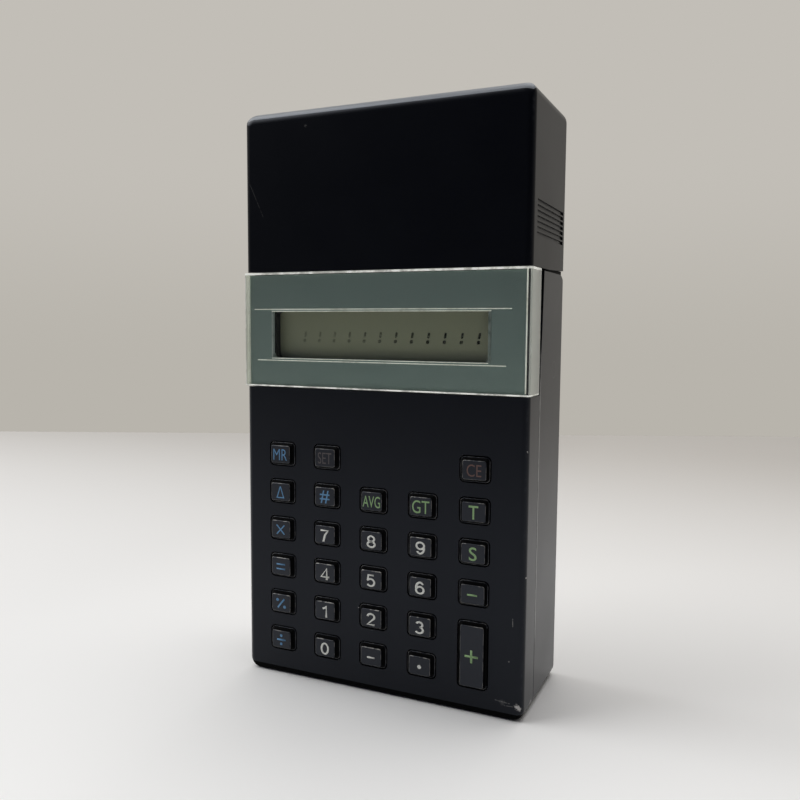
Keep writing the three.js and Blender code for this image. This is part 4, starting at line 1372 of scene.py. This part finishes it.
def cell_finish():
    """A plain cell: a metal can in a silver grey sleeve, dark over a third of its length."""
    finish = Finish("cell_sleeve")
    grain = finish.noise(0.0004, 2.0)
    low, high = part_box("battery_cell_lower")
    share = (finish.along("X") - low.x) * (1 / (high.x - low.x))
    sleeve = finish.fade(share, 0.30, 0.305)
    edge = finish.fade(share, 0.02, 0.025) * finish.drop(share, 0.965, 0.97)
    colour = finish.mix(sleeve, (62, 66, 74), (156, 161, 166))
    return finish.coat(
        finish.mix(edge, (190, 190, 188), colour),
        0.28 + 0.10 * grain,
        grain, 0.006, 0.4,
        Metallic=1.0 - 0.75 * sleeve * edge,
    )


print("middle of a cell in mm:", [round(part / MM, 1) for part in middle_of("battery_cell_lower")])

# %% Inner pieces: the start of the name, the rounding in mm, and what the plain finish asks for
plain_pieces = [
    ("display_holder", 0.12, "holder_black", (13, 13, 15), (19, 19, 21), 0.0, 0.5, 0.3, 0.01),
    ("lcd_reflector", 0, "reflector_film", (150, 150, 132), (164, 164, 146), 0.3, 0.45, 0.4, 0.004),
    ("connector_strip", 0, "grey_rubber", (96, 98, 99), (118, 119, 119), 0.0, 0.8, 0.5, 0.02),
    ("processor_chip", 0.2, "chip_black", (24, 24, 26), (34, 34, 36), 0.0, 0.5, 0.2, 0.01),
    ("driver_chip", 0.2, "driver_black", (24, 24, 26), (34, 34, 36), 0.0, 0.5, 0.2, 0.01),
    ("capacitor", 0.4, "capacitor_can", (150, 152, 155), (186, 188, 190), 0.9, 0.25, 0.3, 0.005),
    ("case_screw", 0.15, "screw_steel", (140, 142, 146), (178, 180, 184), 1.0, 0.3, 0.2, 0.008),
    ("battery_tray", 0.25, "tray_plastic", (38, 39, 41), (50, 51, 53), 0.0, 0.5, 0.3, 0.012),
    ("contact", 0, "spring_brass", (184, 168, 128), (214, 200, 160), 1.0, 0.28, 0.4, 0.006),
    ("power_switch_knob", 0.25, "knob_black", (24, 24, 27), (36, 36, 39), 0.0, 0.42, 0.2, 0.01),
    ("power_switch_body", 0.2, "switch_can", (150, 152, 155), (184, 186, 188), 0.9, 0.3, 0.3, 0.006),
]
families = {start: (rounding, plain_finish(*values)) for start, rounding, *values in plain_pieces}
families["lcd_panel"] = (0, panel_finish())
families["main_board"] = (0.1, board_finish())
families["battery_cell"] = (0.35, cell_finish())
replaced = {name for o in bpy.data.objects for name in o.get("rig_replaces", [])}
for name, solid in nodes.items():
    if name in replaced:
        continue
    rounding, finish = next(families[start] for start in families if name.startswith(start))
    solid.data.materials.clear()
    solid.data.materials.append(finish)
    if rounding:
        solid.modifiers.new("weld", "WELD").merge_threshold = 1e-6
        break_edges(solid, rounding * MM, 35)
print("solids kept with a finish of their own:", len(nodes) - len(replaced))

# %% [markdown]
# The table is a plain pale top. It only needs a hint of texture, so that its tone isn't dead flat.
# It is a little darker near the camera, at the left and far away, as in the photograph: this is
# painted shade.

# %% Table finish
def table_finish():
    """Pale matt laminate, with painted shade towards its far edge, at the left and near the camera."""
    finish = Finish("pale_table")
    cloud = finish.noise(0.25, 3.0)
    grain = finish.noise(0.002, 3.0)
    # Painted shade: darker towards the far edge and at the left, and a painted shadow near the camera.
    far_shade = finish.fade(finish.along("Y"), -0.10, 0.50)
    near_tone = finish.mix(cloud, (241, 241, 241), (244, 244, 244))
    far_shade_tone = finish.mix(cloud, (190, 186, 181), (195, 191, 186))
    near_shadow = finish.drop(finish.along("Y"), -0.42, -0.10)
    left_shade = finish.drop(finish.along("X"), -0.16, -0.02)
    shade_tone = (96, 97, 100)
    colour = finish.mix(left_shade * 0.13, finish.mix(far_shade, near_tone, far_shade_tone), shade_tone)
    return finish.coat(
        finish.mix(near_shadow * 0.42, colour, shade_tone),
        0.55 + 0.1 * grain,
        grain, 0.02, 0.2,
    )


table.data.materials.append(table_finish())
print("finish of the table:", table.active_material.name)

# %% The end
bpy.context.view_layer.update()
